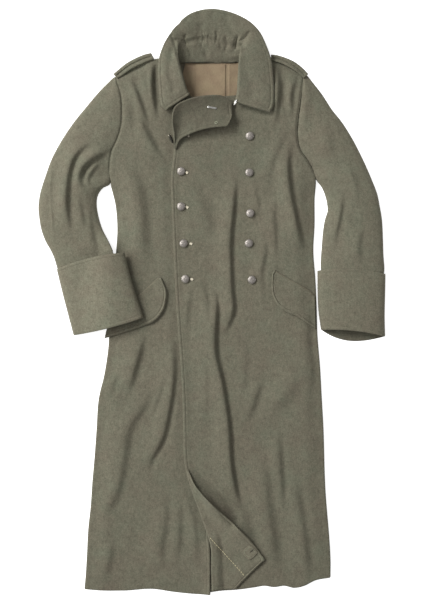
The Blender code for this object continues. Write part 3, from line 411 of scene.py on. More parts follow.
def folds(table, x, y):
    """Sum of the folds. Each is a ridge beside its path that drops to a trough across it, and dies away
    at both ends. With w the distance to the right of the path, the ridge is a bell curve of the left
    width up to its crest, which stands 0.7 right widths before the path, and one of the right width
    beyond it. The trough is a bell curve past the path."""
    total = np.zeros(x.shape)
    for path, rise, trough, left_width, right_width in table["rows"]:
        rows, right_width = np.array(path, dtype=float), right_width * FOLD_CRISPNESS
        points = along_rows(rows, np.linspace(0, len(rows) - 1, (len(rows) - 1) * 4 + 1))
        steps = np.diff(points, axis=0)
        lengths = np.hypot(steps[:, 0], steps[:, 1])
        starts = np.concatenate(([0], np.cumsum(lengths)))
        nearest, side, along = np.full(x.shape, 1e9), np.zeros(x.shape), np.zeros(x.shape)
        for (ax, ay), (dx, dy), length, begin in zip(points, steps / lengths[:, None], lengths, starts):
            t = np.clip((x - ax) * dx + (y - ay) * dy, 0, length)
            distance = np.hypot(x - ax - t * dx, y - ay - t * dy)
            closer = distance < nearest
            nearest = np.where(closer, distance, nearest)
            side = np.where(closer, dx * (y - ay) - dy * (x - ax), side)
            along = np.where(closer, begin + t, along)
        w = np.where(side > 0, nearest, -nearest)
        from_crest = w + 0.7 * right_width
        ridge = bell(from_crest, np.where(from_crest > 0, right_width, left_width))
        dip = bell(w - 0.4 * right_width, right_width)
        reach = min(FOLD_FADE, FADE_SHARE * starts[-1])
        fade = smooth(along / reach) * smooth((starts[-1] - along) / reach)
        total += (rise * ridge - trough * dip) * fade
    return total * FOLD_DEPTH


def ridge_along(path, x, y, width):
    """A soft ridge of height 1 along a smooth path."""
    rows = np.array(path, dtype=float)
    line = along_rows(rows, np.linspace(0, len(rows) - 1, (len(rows) - 1) * 10 + 1))
    nearest = np.full(x.shape, 1e9)
    for px, py in line:
        nearest = np.minimum(nearest, np.hypot(x - px, y - py))
    return bell(nearest, width)


# Slow unevenness of heavy cloth: waves of these lengths and directions, in millimetres and degrees.
UNEVENNESS = dict(columns=("length", "direction", "shift", "height"), rows=[
    (143, 12, 0.3, 0.32), (97, 68, 1.9, 0.26), (71, 151, 4.1, 0.22), (53, 34, 2.6, 0.17),
    (37, 112, 5.2, 0.10)])


def unevenness(x, y):
    """Sum of slow waves, so that no stretch of wool lies dead flat."""
    total = np.zeros(x.shape)
    for length, direction, shift, height in UNEVENNESS["rows"]:
        c, s = math.cos(math.radians(direction)), math.sin(math.radians(direction))
        bend = 0.9 * np.sin((x * s - y * c) / (1.7 * length) + shift)
        total += height * np.sin(2 * math.pi * (x * c + y * s) / length + shift + bend)
    return total


def side_distance(x, y):
    """How far a point lies inside the side edge of each front."""
    right = x - read(RIGHT_FRONT, "side_y", "side_x", y)
    left = read(LEFT_FRONT, "side_y", "side_x", y) - x
    return right, left


def overlap_edge(y):
    """Front edge of the overlap at a level below its lapel."""
    return read(LEFT_FRONT, "front_y", "front_x", y, OVERLAP_ROWS)


def underlap_edge(y):
    return np.interp(y, column(RIGHT_FRONT, "front_y")[::-1], column(RIGHT_FRONT, "front_x")[::-1])


def lie_of_cloth(x, y):
    """Height of a front before its folds: low along its side, then level."""
    side_z, lie_z = read(FRONT_LIE, "y", "side_z", y), read(FRONT_LIE, "y", "lie_z", y)
    right, left = side_distance(x, y)
    return side_z + (lie_z - side_z) * smooth(np.minimum(right, left) / SIDE_ROLL) + unevenness(x, y)


def right_front_top(x, y):
    """Top of the underlap: it bears the edge of the overlap, and past that it is pressed flat. Below the
    turned hem corner its own free edge curls up."""
    past_edge = x - overlap_edge(y)
    under = smooth((past_edge - PRESSED["past"]) / FRONT_STEP)
    under *= smooth((PRESSED["top"] - y) / PRESSED["fade"] + 1)
    bearing = smooth((past_edge - BEARING["past"]) / BEARING["width"])
    lie = lie_of_cloth(x, y)
    sunk = BEARING["sink"] * bearing * smooth((lie - FLAT_TOP) / 3)
    shown = lie - sunk + folds(RIGHT_FOLDS, x, y) * (1 - bearing)
    flat = np.maximum(shown + (FLAT_TOP - shown) * under, FLAT_TOP)
    curl = EDGE_CURL["height"] * bell(np.maximum(underlap_edge(y) - x, 0), EDGE_CURL["width"])
    return flat + curl * smooth((EDGE_CURL["top"] - y) / EDGE_CURL["length"])


def left_front_top(x, y):
    """Top of the overlap: clear of the underlap wherever that reaches, with its own folds, and sunk
    beside the free edge of its turned hem corner."""
    past_edge = x - overlap_edge(y)
    step = OVERLAP_STEP["height"] * smooth(past_edge / OVERLAP_STEP["width"])
    own = lie_of_cloth(x, y) + step + folds(LEFT_FOLDS, x, y) * smooth(past_edge / OVERLAP_CALM)
    own -= CORNER_SINK["depth"] * ridge_along(CORNER_SINK["path"], x, y, CORNER_SINK["width"])
    reach = underlap_edge(y)
    under = right_front_top(np.minimum(x, reach), y)
    bears = 1 - smooth((x - reach - UNDERLAP_END["past"]) / UNDERLAP_END["width"])
    support = (under + LAY + EASE["overlap"] + WOOL) * bears + FLAT_TOP * (1 - bears)
    return soft_max(own, support, 0.8)


def front_top(x, y):
    """Top of whichever front lies uppermost."""
    x, y = np.asarray(x, dtype=float), np.asarray(y, dtype=float)
    return np.where(x < overlap_edge(y) - 1, right_front_top(x, y), left_front_top(x, y))


# Grids and shells

def spaced(total, step, near_start=(0,), near_end=(0,)):
    """Places along a length: the given ones near each end, and even steps between them."""
    squeeze = min(1.0, 0.4 * total / max(near_start[-1] + near_end[-1], 0.01))
    start, end = np.array(near_start) * squeeze, total - np.array(near_end)[::-1] * squeeze
    middle = np.linspace(start[-1], end[0], max(2, round((end[0] - start[-1]) / step)) + 1)
    return np.concatenate((start[:-1], middle, end[1:]))


def ruled(first, second, near_first=PLAIN_EDGE, near_second=PLAIN_EDGE, near_top=PLAIN_EDGE,
          near_bottom=PLAIN_EDGE, step_along=STEP_ALONG, step_across=STEP_ACROSS):
    """A grid between two edges. Its points lie on straight lines from a smooth line through the first
    edge's points to one through the second's, with rows evenly spaced along them and columns set by the
    distance from each edge. Gives points, distances from each edge, distances from each end, and row
    numbers."""
    fine = np.linspace(0, len(first) - 1, (len(first) - 1) * 24 + 1)
    run = (along_rows(first, fine) + along_rows(second, fine)) / 2
    lengths = np.concatenate(([0], np.cumsum(np.hypot(*np.diff(run[:, :2], axis=0).T))))
    places = spaced(lengths[-1], step_along, near_top, near_bottom)
    at = np.interp(places, lengths, fine)
    a, b = along_rows(first, at), along_rows(second, at)
    widths = np.hypot(*(b - a)[:, :2].T)
    usual = float(np.max(widths))
    pattern = spaced(usual, step_across, near_first, near_second)
    from_first = np.minimum(pattern[None, :], usual)
    from_second = usual - from_first
    near = np.minimum(from_first, near_first[-1]) + 0 * widths[:, None]
    far = np.minimum(from_second, near_second[-1]) + 0 * widths[:, None]
    squeeze = np.minimum(1, 0.8 * widths / (near_first[-1] + near_second[-1] + 1e-6))[:, None]
    core = np.maximum(widths[:, None] - (near_first[-1] + near_second[-1]) * squeeze, 0)
    middle = (usual - near_first[-1] - near_second[-1])
    inner = np.clip((from_first - near_first[-1]) / middle, 0, 1)
    distance = near * squeeze + inner * core + (near_second[-1] - far) * squeeze
    t = distance / np.maximum(widths[:, None], 1e-6)
    points = a[:, None, :] * (1 - t[..., None]) + b[:, None, :] * t[..., None]
    ends = (places[:, None] + 0 * t, (lengths[-1] - places)[:, None] + 0 * t)
    return points, (distance, widths[:, None] - distance), ends, at, t


def lay(points, height):
    return np.concatenate((points[..., :2], height[..., None]), axis=-1)


def edge_round(distance, radius=3.0, drop=1.1):
    """How far a free edge falls away: a quarter circle over its last stretch."""
    t = np.clip(1 - distance / radius, 0, 1)
    return drop * (1 - np.sqrt(1 - t * t))


def stitched_edge(distance):
    """The relief of a topstitched edge: rounded rim, a swell inside it, and a ditch along the stitches."""
    return 0.55 * bell(distance - 3.6, 2.0) - 0.8 * bell(distance - TOPSTITCH, 1.3) - edge_round(distance)


def seam_ditch(distance, depth=2.3, width=2.6):
    return -depth * bell(distance, width)


def add_object(name, data):
    """An object for a mesh, a light or a camera, in the scene."""
    thing = bpy.data.objects.new(name, data)
    bpy.context.scene.collection.objects.link(thing)
    return thing


def make_mesh(name, points, faces, paint):
    """A smooth mesh that rides on the coat, from points in millimetres and faces as lists of their
    numbers."""
    mesh = bpy.data.meshes.new(name)
    mesh.from_pydata((points * MM).tolist(), [], faces)
    mesh.validate()
    mesh.shade_smooth()
    mesh.materials.append(paint)
    thing = add_object(name, mesh)
    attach(thing, "root")
    return thing


def grid_faces(rows, columns, start=0):
    index = np.arange(rows * columns).reshape(rows, columns) + start
    a, b, c, d = index[:-1, :-1], index[1:, :-1], index[1:, 1:], index[:-1, 1:]
    return index, np.stack((a, b, c, d), axis=-1).reshape(-1, 4)


def shell(name, face, inside, paint, replaces, bulge=1.0):
    """Closed cloth between a face and an inside, both rows by columns by xyz. The rim between them is
    half an ellipse: from the face's edge to the inside's edge, bulging outwards, square to both the
    edge's run and the wall. Faces are turned to point outwards by the sign of the shell's own volume."""
    rows, columns, _ = face.shape
    index, upper = grid_faces(rows, columns)
    lower = upper[:, ::-1] + rows * columns
    ring = np.concatenate((index[0, ::-1], index[1:, 0], index[-1, 1:], index[-2:0:-1, -1]))
    top, low = face.reshape(-1, 3), inside.reshape(-1, 3)
    rim_top, rim_low = top[ring], low[ring]
    run = np.roll(rim_top, -1, axis=0) - np.roll(rim_top, 1, axis=0)
    out = np.cross(run, rim_top - rim_low)
    out /= np.maximum(np.linalg.norm(out, axis=1), 1e-9)[:, None]
    centre = top.mean(axis=0)
    if np.sum(out * (rim_top - centre)) < 0:
        out = -out
    middle, half = (rim_top + rim_low) / 2, (rim_top - rim_low) / 2
    rings, start = [ring], 2 * rows * columns
    layers = [top, low]
    for angle in (45, 90, 135):
        c, s = math.cos(math.radians(angle)), math.sin(math.radians(angle))
        layers.append(middle + half * c + out * bulge * s)
        rings.append(np.arange(len(ring)) + start)
        start += len(ring)
    rings.append(ring + rows * columns)
    sides = [np.stack((a, b, np.roll(b, -1), np.roll(a, -1)), axis=-1) for a, b in zip(rings[:-1], rings[1:])]
    points = np.concatenate(layers)
    faces = np.concatenate([upper, lower, *sides])
    corners = points[faces]
    volume = np.sum(np.cross(corners[:, 0], corners[:, 1]) * corners[:, 2]
                    + np.cross(corners[:, 0], corners[:, 2]) * corners[:, 3])
    if volume < 0:
        faces = faces[:, ::-1]
    thing = make_mesh(name, points, faces.tolist(), paint)
    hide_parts(*replaces)


def face_tree(face):
    """The face of a shell as something to drop points on, in millimetres."""
    rows, columns, _ = face.shape
    _, faces = grid_faces(rows, columns)
    return BVHTree.FromPolygons(face.reshape(-1, 3).tolist(), faces.tolist())


def drop(trees, x, y, missing=0.0):
    """Height of the uppermost of some faces straight below a point."""
    found = [tree.ray_cast(Vector((x, y, 200)), Vector((0, 0, -1)))[0] for tree in trees]
    return max([place.z for place in found if place] or [missing])


def drop_all(trees, x, y, missing=0.0):
    """The same for whole arrays of points."""
    heights = [drop(trees, a, b, missing) for a, b in zip(np.ravel(x), np.ravel(y))]
    return np.array(heights).reshape(np.shape(x))


# Materials

class Wire:
    """One socket of a material. Arithmetic on it adds Math nodes."""

    def __init__(self, paint, socket):
        self.paint, self.socket = paint, socket

    def math(self, operation, *values):
        return self.paint.node("ShaderNodeMath", {"operation": operation}, dict(enumerate(values)))

    def __add__(self, other):
        return self.math("ADD", self, other)

    def __sub__(self, other):
        return self.math("SUBTRACT", self, other)

    def __rsub__(self, other):
        return self.math("SUBTRACT", other, self)

    def __mul__(self, other):
        return self.math("MULTIPLY", self, other)

    __radd__, __rmul__ = __add__, __mul__

    def clamp(self, low=0.0, high=1.0):
        return self.math("MINIMUM", self.math("MAXIMUM", self, low), high)

    def sine(self):
        return self.math("SINE", self)


class Paint:
    """A material: a Principled shader and the nodes that feed it."""

    def __init__(self, name, **constants):
        self.material = bpy.data.materials.new(name)
        self.material.use_nodes = True
        self.tree = self.material.node_tree
        self.shader = self.tree.nodes["Principled BSDF"]
        for key, value in constants.items():
            self.shader.inputs[key.replace("_", " ")].default_value = value
        self.place = self.node("ShaderNodeTexCoord", {}, {}, "Object")

    def node(self, kind, settings, values, output=0):
        """Adds a node: its settings first, then a value or a link for each named or numbered input."""
        node = self.tree.nodes.new(kind)
        for key, value in settings.items():
            setattr(node, key, value)
        for key, value in values.items():
            self.set(node.inputs[key], value)
        return Wire(self, node.outputs[output])

    def set(self, socket, value):
        if isinstance(value, Wire):
            self.tree.links.new(value.socket, socket)
        else:
            socket.default_value = value

    def feed(self, key, value):
        self.set(self.shader.inputs[key], value)

    def turned(self, degrees, scale=(1, 1, 1), shift=(0, 0, 0)):
        """Object coordinates turned about z, stretched and shifted."""
        values = {"Vector": self.place, "Rotation": (0, 0, math.radians(degrees)), "Scale": scale,
                  "Location": shift}
        return self.node("ShaderNodeMapping", {}, values)

    def noise(self, place, scale, detail=2.0, rough=0.5):
        values = {"Vector": place, "Scale": scale, "Detail": detail, "Roughness": rough}
        return self.node("ShaderNodeTexNoise", {}, values)

    def mix(self, factor, a, b):
        """Colour a where the factor is 0, and b where it is 1."""
        settings = {"data_type": "RGBA", "clamp_factor": True}
        return self.node("ShaderNodeMix", settings, {0: factor, 6: a, 7: b}, 2)

    def scaled(self, colour, factor):
        """A colour made brighter or darker."""
        values = {0: colour if isinstance(colour, Wire) else colour[:3], "Scale": factor}
        return self.node("ShaderNodeVectorMath", {"operation": "SCALE"}, values)

    def bump(self, height, strength, distance):
        values = {"Height": height, "Strength": strength, "Distance": distance}
        self.feed("Normal", self.node("ShaderNodeBump", {}, values))


WOOL_GREY = (0.152, 0.143, 0.103, 1)
WOOL_GREEN = (0.136, 0.143, 0.101, 1)
WOOL_BROWN = (0.158, 0.136, 0.100, 1)
WOOL_DARK = (0.060, 0.055, 0.038, 1)
WOOL_LIGHT = (0.30, 0.29, 0.23, 1)


DARKER_TO_HEM = dict(from_y=0.05, slope=1.33, most=0.13)    # the wool is darker towards the hem, in metres


def wool(name, turn, shade, shift=(0, 0, 0)):
    """Felted melton: grey wool mottled slowly towards green and brown, sprinkled with dark and light
    fibres that run along the piece's own grain, and a soft nap in its bump."""
    paint = Paint(name, Roughness=0.95, Specular_IOR_Level=0.12, Sheen_Weight=0.07, Sheen_Roughness=0.45)
    place = paint.turned(turn, (1, 1, 1), shift)
    slow = paint.noise(place, 12, 2)
    patch = paint.noise(place, 38, 3, 0.6)
    hue = ((slow - 0.5) * 1.8 + (patch - 0.5) * 1.7).clamp(-1, 1)
    body = paint.mix((hue * -1).clamp(), paint.mix(hue.clamp(), WOOL_GREY, WOOL_GREEN), WOOL_BROWN)
    grain = paint.turned(turn, (1.0, 0.42, 1.0), shift)
    fibre = paint.noise(grain, 820, 4, 0.72)
    clump = paint.noise(place, 300, 3, 0.6)
    light = ((fibre - 0.56) * 5.5).clamp() * 0.42
    dark = ((0.47 - fibre) * 5.0).clamp() * 0.50
    body = paint.mix(dark, body, WOOL_DARK)
    body = paint.mix(light, body, WOOL_LIGHT)
    fleck = paint.noise(paint.turned(turn, (1.0, 0.6, 1.0), shift), 150, 2, 0.6)
    cloud = paint.noise(place, 78, 2, 0.55)
    level = paint.node("ShaderNodeSeparateXYZ", {}, {"Vector": paint.place}, "Y")
    # Darker towards the hem: the tone is scaled down below from_y.
    hem_tone = 1 - ((DARKER_TO_HEM["from_y"] - level) * DARKER_TO_HEM["slope"]).clamp() * DARKER_TO_HEM["most"]
    mottle = 1 + (clump - 0.5) * 0.9 + (fleck - 0.5) * 0.5 + (cloud - 0.5) * 0.22 + (patch - 0.5) * 0.2
    tone = mottle * shade * hem_tone
    paint.feed("Base Color", paint.scaled(body, tone))
    nap = fibre * 0.5 + clump * 0.5
    paint.bump(nap, 0.55, 0.0011)
    return paint.material


TWILL_TAN = (0.290, 0.226, 0.140, 1)
TWILL_STAIN = (0.245, 0.178, 0.114, 1)
RIB_WIDTH = 0.0011     # in metres


def twill(name, shade, turn=0.0):
    """Tan cotton twill: fine slanting ribs, crossed by uneven yarns, with slow stains."""
    paint = Paint(name, Roughness=0.8, Specular_IOR_Level=0.25, Sheen_Weight=0.1, Sheen_Roughness=0.5)
    place = paint.turned(turn + 58)
    across = paint.node("ShaderNodeSeparateXYZ", {}, {"Vector": place}, "X")
    rib = (across * (2 * math.pi / RIB_WIDTH)).sine() * 0.5 + 0.5
    yarn = paint.noise(paint.turned(turn, (1, 0.2, 1)), 900, 3, 0.6)
    stain = paint.noise(paint.place, 38, 3, 0.6)
    body = paint.mix(stain.math("MULTIPLY_ADD", stain, 2.6, -0.8).clamp(), TWILL_TAN, TWILL_STAIN)
    tone = (0.86 + rib * 0.12 + (yarn - 0.5) * 0.45) * shade
    paint.feed("Base Color", paint.scaled(body, tone))
    paint.bump(rib * 0.7 + yarn * 0.5, 0.4, 0.0004)
    return paint.material


def zinc(name):
    """Dull silver-grey metal with a pebbled face, darker in the hollows."""
    paint = Paint(name, Metallic=0.8, Specular_IOR_Level=0.35)
    values = {"Vector": paint.place, "Scale": 1150, "Smoothness": 0.5}
    cells = paint.node("ShaderNodeTexVoronoi", {"feature": "SMOOTH_F1"}, values)
    dirt = paint.noise(paint.place, 420, 3, 0.6)
    tone = (1.02 - cells * 0.9 + (dirt - 0.5) * 0.5).clamp(0.25, 1.15)
    paint.feed("Base Color", paint.scaled((0.60, 0.55, 0.50, 1), tone))
    paint.feed("Roughness", (0.44 + (dirt - 0.5) * 0.5).clamp(0.3, 0.7))
    paint.bump((1 - cells) * 0.8 + dirt * 0.2, 0.5, 0.0005)
    return paint.material


def thread(name, colour, shine=0.35):
    """Twisted sewing thread: bands across it, from light to dark."""
    paint = Paint(name, Roughness=0.6, Specular_IOR_Level=shine)
    twist = paint.noise(paint.turned(31, (1, 3, 1)), 1600, 2)
    paint.feed("Base Color", paint.scaled(colour, 0.72 + twist * 0.55))
    paint.bump(twist, 0.4, 0.0003)
    return paint.material


def bright_wire(name):
    """Plated steel wire, worn to a dull shine."""
    paint = Paint(name, Metallic=1.0)
    wear = paint.noise(paint.place, 700, 3, 0.6)
    paint.feed("Base Color", paint.scaled((0.80, 0.79, 0.76, 1), 0.75 + wear * 0.45))
    paint.feed("Roughness", (0.2 + wear * 0.25).clamp(0.15, 0.6))
    paint.bump(wear, 0.2, 0.0002)
    return paint.material


def pale_floor(name):
    """White paper that glows a little, so that it stays white beside the grey wool."""
    paint = Paint(name, Roughness=0.9, Specular_IOR_Level=0.1, Emission_Color=(1, 1, 1, 1),
                  Emission_Strength=0.72)
    grain = paint.noise(paint.place, 90, 2)
    paint.feed("Base Color", paint.scaled((0.93, 0.93, 0.925, 1), 0.985 + grain * 0.02))
    return paint.material


# The third number scales each piece's brightness against the others.
WOOL_BODY = wool("wool_body", 3, 0.98)
WOOL_LEFT = wool("wool_left_front", -4, 0.93, (0.31, 0.12, 0))
WOOL_SLEEVE_R = wool("wool_sleeve_right", -24, 1.07, (0.7, 0.4, 0))
WOOL_SLEEVE_L = wool("wool_sleeve_left", 20, 0.97, (0.2, 0.9, 0))
WOOL_CUFF_R = wool("wool_cuff_right", 13, 1.13, (0.5, 0.1, 0))
WOOL_CUFF_L = wool("wool_cuff_left", 2, 0.96, (0.9, 0.6, 0))
# Painted shade: the collar is made a little darker for the shade on its arch and stand.
WOOL_COLLAR = wool("wool_collar", 40, 0.96, (0.15, 0.55, 0))
WOOL_FACING = wool("wool_facing", 47, 1.0, (0.4, 0.3, 0))
# Painted shade: the lapel's facing is made much darker for the shade in its hollow.
WOOL_LAPEL_SHADED = wool("wool_lapel_painted_shade", -12, 0.74, (0.8, 0.2, 0))
# Painted shade: a darker copy of the wool for the cuff undersides, which show inside the shaded mouths.
WOOL_SHADED_INSIDE = wool("wool_inside_painted_shade", 9, 0.66, (0.6, 0.8, 0))
TWILL_LINING = twill("twill_lining", 1.03)
TWILL_PATCH = twill("twill_patch", 1.1, 31)
ZINC = zinc("pebbled_zinc")
PALE_THREAD = thread("pale_thread", (0.72, 0.66, 0.52, 1))
YELLOW_THREAD = thread("yellow_thread", (0.62, 0.55, 0.34, 1))
SEAM_THREAD = thread("seam_thread", (0.23, 0.18, 0.12, 1), 0.2)
GREY_THREAD = thread("grey_thread", (0.20, 0.19, 0.14, 1), 0.2)
TAB_THREAD = thread("tab_thread", (0.27, 0.28, 0.20, 1), 0.2)
# Painted shade: a near-black tube that stands for the shadowed opening of a buttonhole's slit.
SLIT_SHADE = thread("slit_painted_shade", (0.035, 0.033, 0.027, 1), 0.1)
WIRE = bright_wire("plated_wire")


# Pieces of cloth

def bend_to_hem(points, hem, from_hem):
    """Moves the lowest stretch of a panel down to its hem, most at the hem itself."""
    last = points[-1]
    shift = read(hem, "x", "y", last[:, 0]) - last[:, 1]
    bent = points.copy()
    bent[..., 1] += shift[None, :] * smooth(1 - from_hem / HEM_REACH)
    return bent


def make_front(side, table, hem, top_of, paint):
    """One front: its height comes from the lie of the cloth, with a rounded front edge, a soft ditch at the
    armhole's seam and a rounded side."""
    near = (STITCHED_EDGE, PLAIN_EDGE) if side == "left" else (PLAIN_EDGE, STITCHED_EDGE)
    points, distances, ends, _, _ = ruled(*edges(table), *near, near_bottom=STITCHED_EDGE)
    points = bend_to_hem(points, hem, ends[1])
    x, y = points[..., 0], points[..., 1]
    to_front, to_side = distances if side == "left" else distances[::-1]
    armhole = smooth((y - 285) / 40)
    rounded_side = edge_round(to_side, 6, 1.5) * (1 - armhole)
    relief = 0.7 * stitched_edge(to_front) + seam_ditch(to_side) * armhole - rounded_side
    lie = top_of(x, y)
    face = lay(points, lie + relief - edge_round(ends[1], 3.5, 1.4))
    shell(f"front_{side}_cloth", face, lay(points, lie - WOOL), paint, [f"front_{side}"])
    return face_tree(face)


def make_back(paint):
    """The back: flat on the surface, between the side seams of both fronts, with its centre seam pressed
    in."""
    first, second = edges(RIGHT_FRONT)[0], edges(LEFT_FRONT)[1]
    points, distances, ends, _, _ = ruled(first, second, step_along=9, step_across=9)
    hem_rows = RIGHT_HEM["rows"][:-1] + LEFT_HEM["rows"][1:]
    hem = dict(columns=("x", "y"), rows=[(x, y + BACK_SHORTER) for x, y in hem_rows])
    points = bend_to_hem(points, hem, ends[1])
    edge = np.minimum(np.minimum(*distances), ends[1])
    top = BACK_WOOL - edge_round(edge, 3, 0.7)
    bottom = 0.5 * bell(points[..., 0] + 8, 5) + edge_round(edge, 3, 0.7)
    shell("back_cloth", lay(points, top), lay(points, bottom), paint, ["back"])


def sleeve_base(table, at, t):
    """A flattened tube: low along its edges, crowned between them, higher where it joins the armhole."""
    inner, crown = at_rows(table, "inner_z", at), at_rows(table, "crown", at)
    base = FLAT_TOP + (np.maximum(inner, FLAT_TOP) - FLAT_TOP) * smooth(t * 1.4 - 0.4)
    swell = crown * np.sqrt(np.clip(1 - (2 * t - 1) ** 2, 0, 1))
    joined = smooth((inner - FLAT_TOP) / 3)
    return base + swell * (1 - joined * t ** 3) * 0.75


def cuff_floor(side, x):
    """What the underside of a cuff lies on: the surface, or the front and its flap."""
    if side == "left":
        return np.zeros_like(x)
    return CUFF_CLIMB["height"] * smooth((x - CUFF_CLIMB["start_x"]) / CUFF_CLIMB["width"])


# Seams of the sleeves that show as soft ridges.
SLEEVE_SEAMS = {
    "right": ((-384, 330), (-386, 277), (-384, 229), (-381, 181), (-376, 118)),
    "left": ((319, 400), (355, 327), (384, 262), (398, 196), (401, 110)),
}


def make_sleeve(side, table, fold_table, paint):
    """A sleeve: its top half, crowned and folded, runs on into the cuff, and its under half lies flat."""
    outward = -1 if side == "right" else 1
    outer, inner = edges(table)
    inner[:, 0] += outward * ARMHOLE_GAP
    points, distances, ends, at, t = ruled(outer, inner, ROUND_EDGE, PLAIN_EDGE)
    run = points[-1] - points[-2]
    run /= np.linalg.norm(run, axis=-1, keepdims=True)
    tucks = []
    for further, narrowing in SLEEVE_TUCK["rows"]:
        row = points[-1] + run * further
        row[:, 0] -= outward * narrowing * (1 - 2 * t[-1])
        tucks.append(row)
    x, y = points[..., 0], points[..., 1]
    arch = t * (1 - t)
    relief = folds(fold_table, x, y) * np.clip(4 * arch, 0, 1) ** 0.6
    relief += (unevenness(x, y) + 1.7 * ridge_along(SLEEVE_SEAMS[side], x, y, 2.6)) * np.clip(8 * arch, 0, 1)
    height = sleeve_base(table, at, t) + relief
    height += seam_ditch(distances[1]) * smooth((7 - at) / 1.5)[:, None] - edge_round(ends[0], 4, 1.2)
    bearing = cuff_floor(side, x) + FLAT_TOP + 1.2
    near_cuff = smooth(1 - ends[1] / SLEEVE_LEVEL)
    height = np.maximum(height, height * (1 - near_cuff) + bearing * near_cuff)
    points = np.concatenate((points, np.array(tucks)))
    height = np.concatenate((height, np.array([height[-1]] * len(tucks))))
    shell(f"top_sleeve_{side}_cloth", lay(points, height), lay(points, height - WOOL), paint,
          [f"top_sleeve_{side}"])
    points, distances, _, _, _ = ruled(outer, inner, step_along=8, step_across=8)
    edge = np.minimum(*distances)
    shell(f"under_sleeve_{side}_cloth", lay(points, BACK_WOOL - edge_round(edge, 3, 0.6)),
          lay(points, edge_round(edge, 3, 0.8)), paint, [f"under_sleeve_{side}"])


def make_cuff(side, table, paint):
    """A deep turned-back cuff: its face bows up at the mouth, and the lip of its underside hangs past it."""
    outward = -1 if side == "right" else 1
    points, _, ends, at, t = ruled(*edges(table), CUFF_EDGE, CUFF_EDGE, STITCHED_EDGE, STITCHED_EDGE)
    arch = 4 * t * (1 - t)
    bow = at_rows(table, "bow", at) * arch
    crown = (at_rows(table, "crown", at) + CUFF_STEP) * np.clip(arch, 0, 1) ** CUFF_FULLNESS
    face = points.copy()
    face[..., 1] += bow
    x, y = face[..., 0], face[..., 1]
    seat = cuff_floor(side, x) + BACK_WOOL
    top = seat + LAY + WOOL + crown
    wave = 0.8 * unevenness(x, y) * np.clip(2 * arch, 0, 1)
    relief = wave + 0.5 * (stitched_edge(ends[0]) + stitched_edge(ends[1])) - 0.5 * edge_round(ends[0], 3, 1)
    shell(f"cuff_{side}_cloth", lay(face, top + relief), lay(face, top - WOOL), paint,
          [f"cuff_{side}"])
    under = points.copy()
    under[..., 0] -= outward * 0.8 * (1 - 2 * t)
    mouth = np.clip((at - at[-1] + 1), 0, 1)[:, None]
    lean = arch * (0.7 + 0.6 * t)
    under[..., 1] -= (CUFF_LIP[side] * lean + bow * 0.5) * mouth
    under[..., 1] -= (bow + 1.5) * np.clip(1 - at, 0, 1)[:, None]
    floor = cuff_floor(side, under[..., 0])
    lip = 1.2 * arch * smooth(1 - ends[1] / 10)
    # The underside gets the darker wool copy: painted shade inside the cuff's mouth.
    shell(f"cuff_under_{side}_cloth", lay(under, floor + BACK_WOOL + lip - edge_round(ends[1], 2, 0.6)),
          lay(under, floor), WOOL_SHADED_INSIDE, [f"cuff_under_{side}"])


def collar_section(neck, roll, edge):
    """One section: straight stand, a round roll through the named point, straight fall. Gives the face,
    its direction towards the inside of the fold, the distance from the free edge, and how far each point
    bellies."""
    corner = roll
    for _ in range(4):
        a, b = neck - corner, edge - corner
        stand_length = np.linalg.norm(a)
        a, b = a / stand_length, b / np.linalg.norm(b)
        half = math.acos(float(np.clip(a @ b, -1, 1))) / 2
        tangent = min(ROLL_RADIUS / math.tan(half), 0.8 * stand_length)
        radius = tangent * math.tan(half)
        bisector = (a + b) / np.linalg.norm(a + b)
        corner = roll - bisector * (radius / math.sin(half) - radius)
    centre = corner + bisector * (radius / math.sin(half))
    start, end = corner + a * tangent, corner + b * tangent
    inward_a = (centre - start) / radius
    inward_b = (centre - end) / radius
    stand = np.linspace(0, 1, 9)[:, None]
    turn = np.linspace(0, 1, 11)[1:-1, None]
    fall_length = np.linalg.norm(edge - end)
    fall = spaced(fall_length, 4.2, (0, 2), STITCHED_EDGE)[:, None] / fall_length
    directions = inward_a * (1 - turn) + inward_b * turn
    directions /= np.linalg.norm(directions, axis=1, keepdims=True)
    face = np.concatenate((neck + (start - neck) * stand, centre - directions * radius,
                           end + (edge - end) * fall))
    inward = np.concatenate((inward_a + 0 * stand, directions, inward_b + 0 * fall))
    to_edge = np.concatenate((np.full(len(stand) + len(turn), 999.0), ((1 - fall) * fall_length)[:, 0]))
    belly = np.concatenate((np.sin(math.pi * stand[:, 0]) * 0.5, 0 * turn[:, 0],
                            np.sin(math.pi * fall[:, 0])))
    return face, inward, to_edge, belly


def resampled(rows, count):
    """Brings a section to a fixed number of points, by its own numbering."""
    steps = np.arange(len(rows))
    at = np.linspace(0, len(rows) - 1, count)
    return np.column_stack([np.interp(at, steps, rows[:, k]) for k in range(rows.shape[1])])


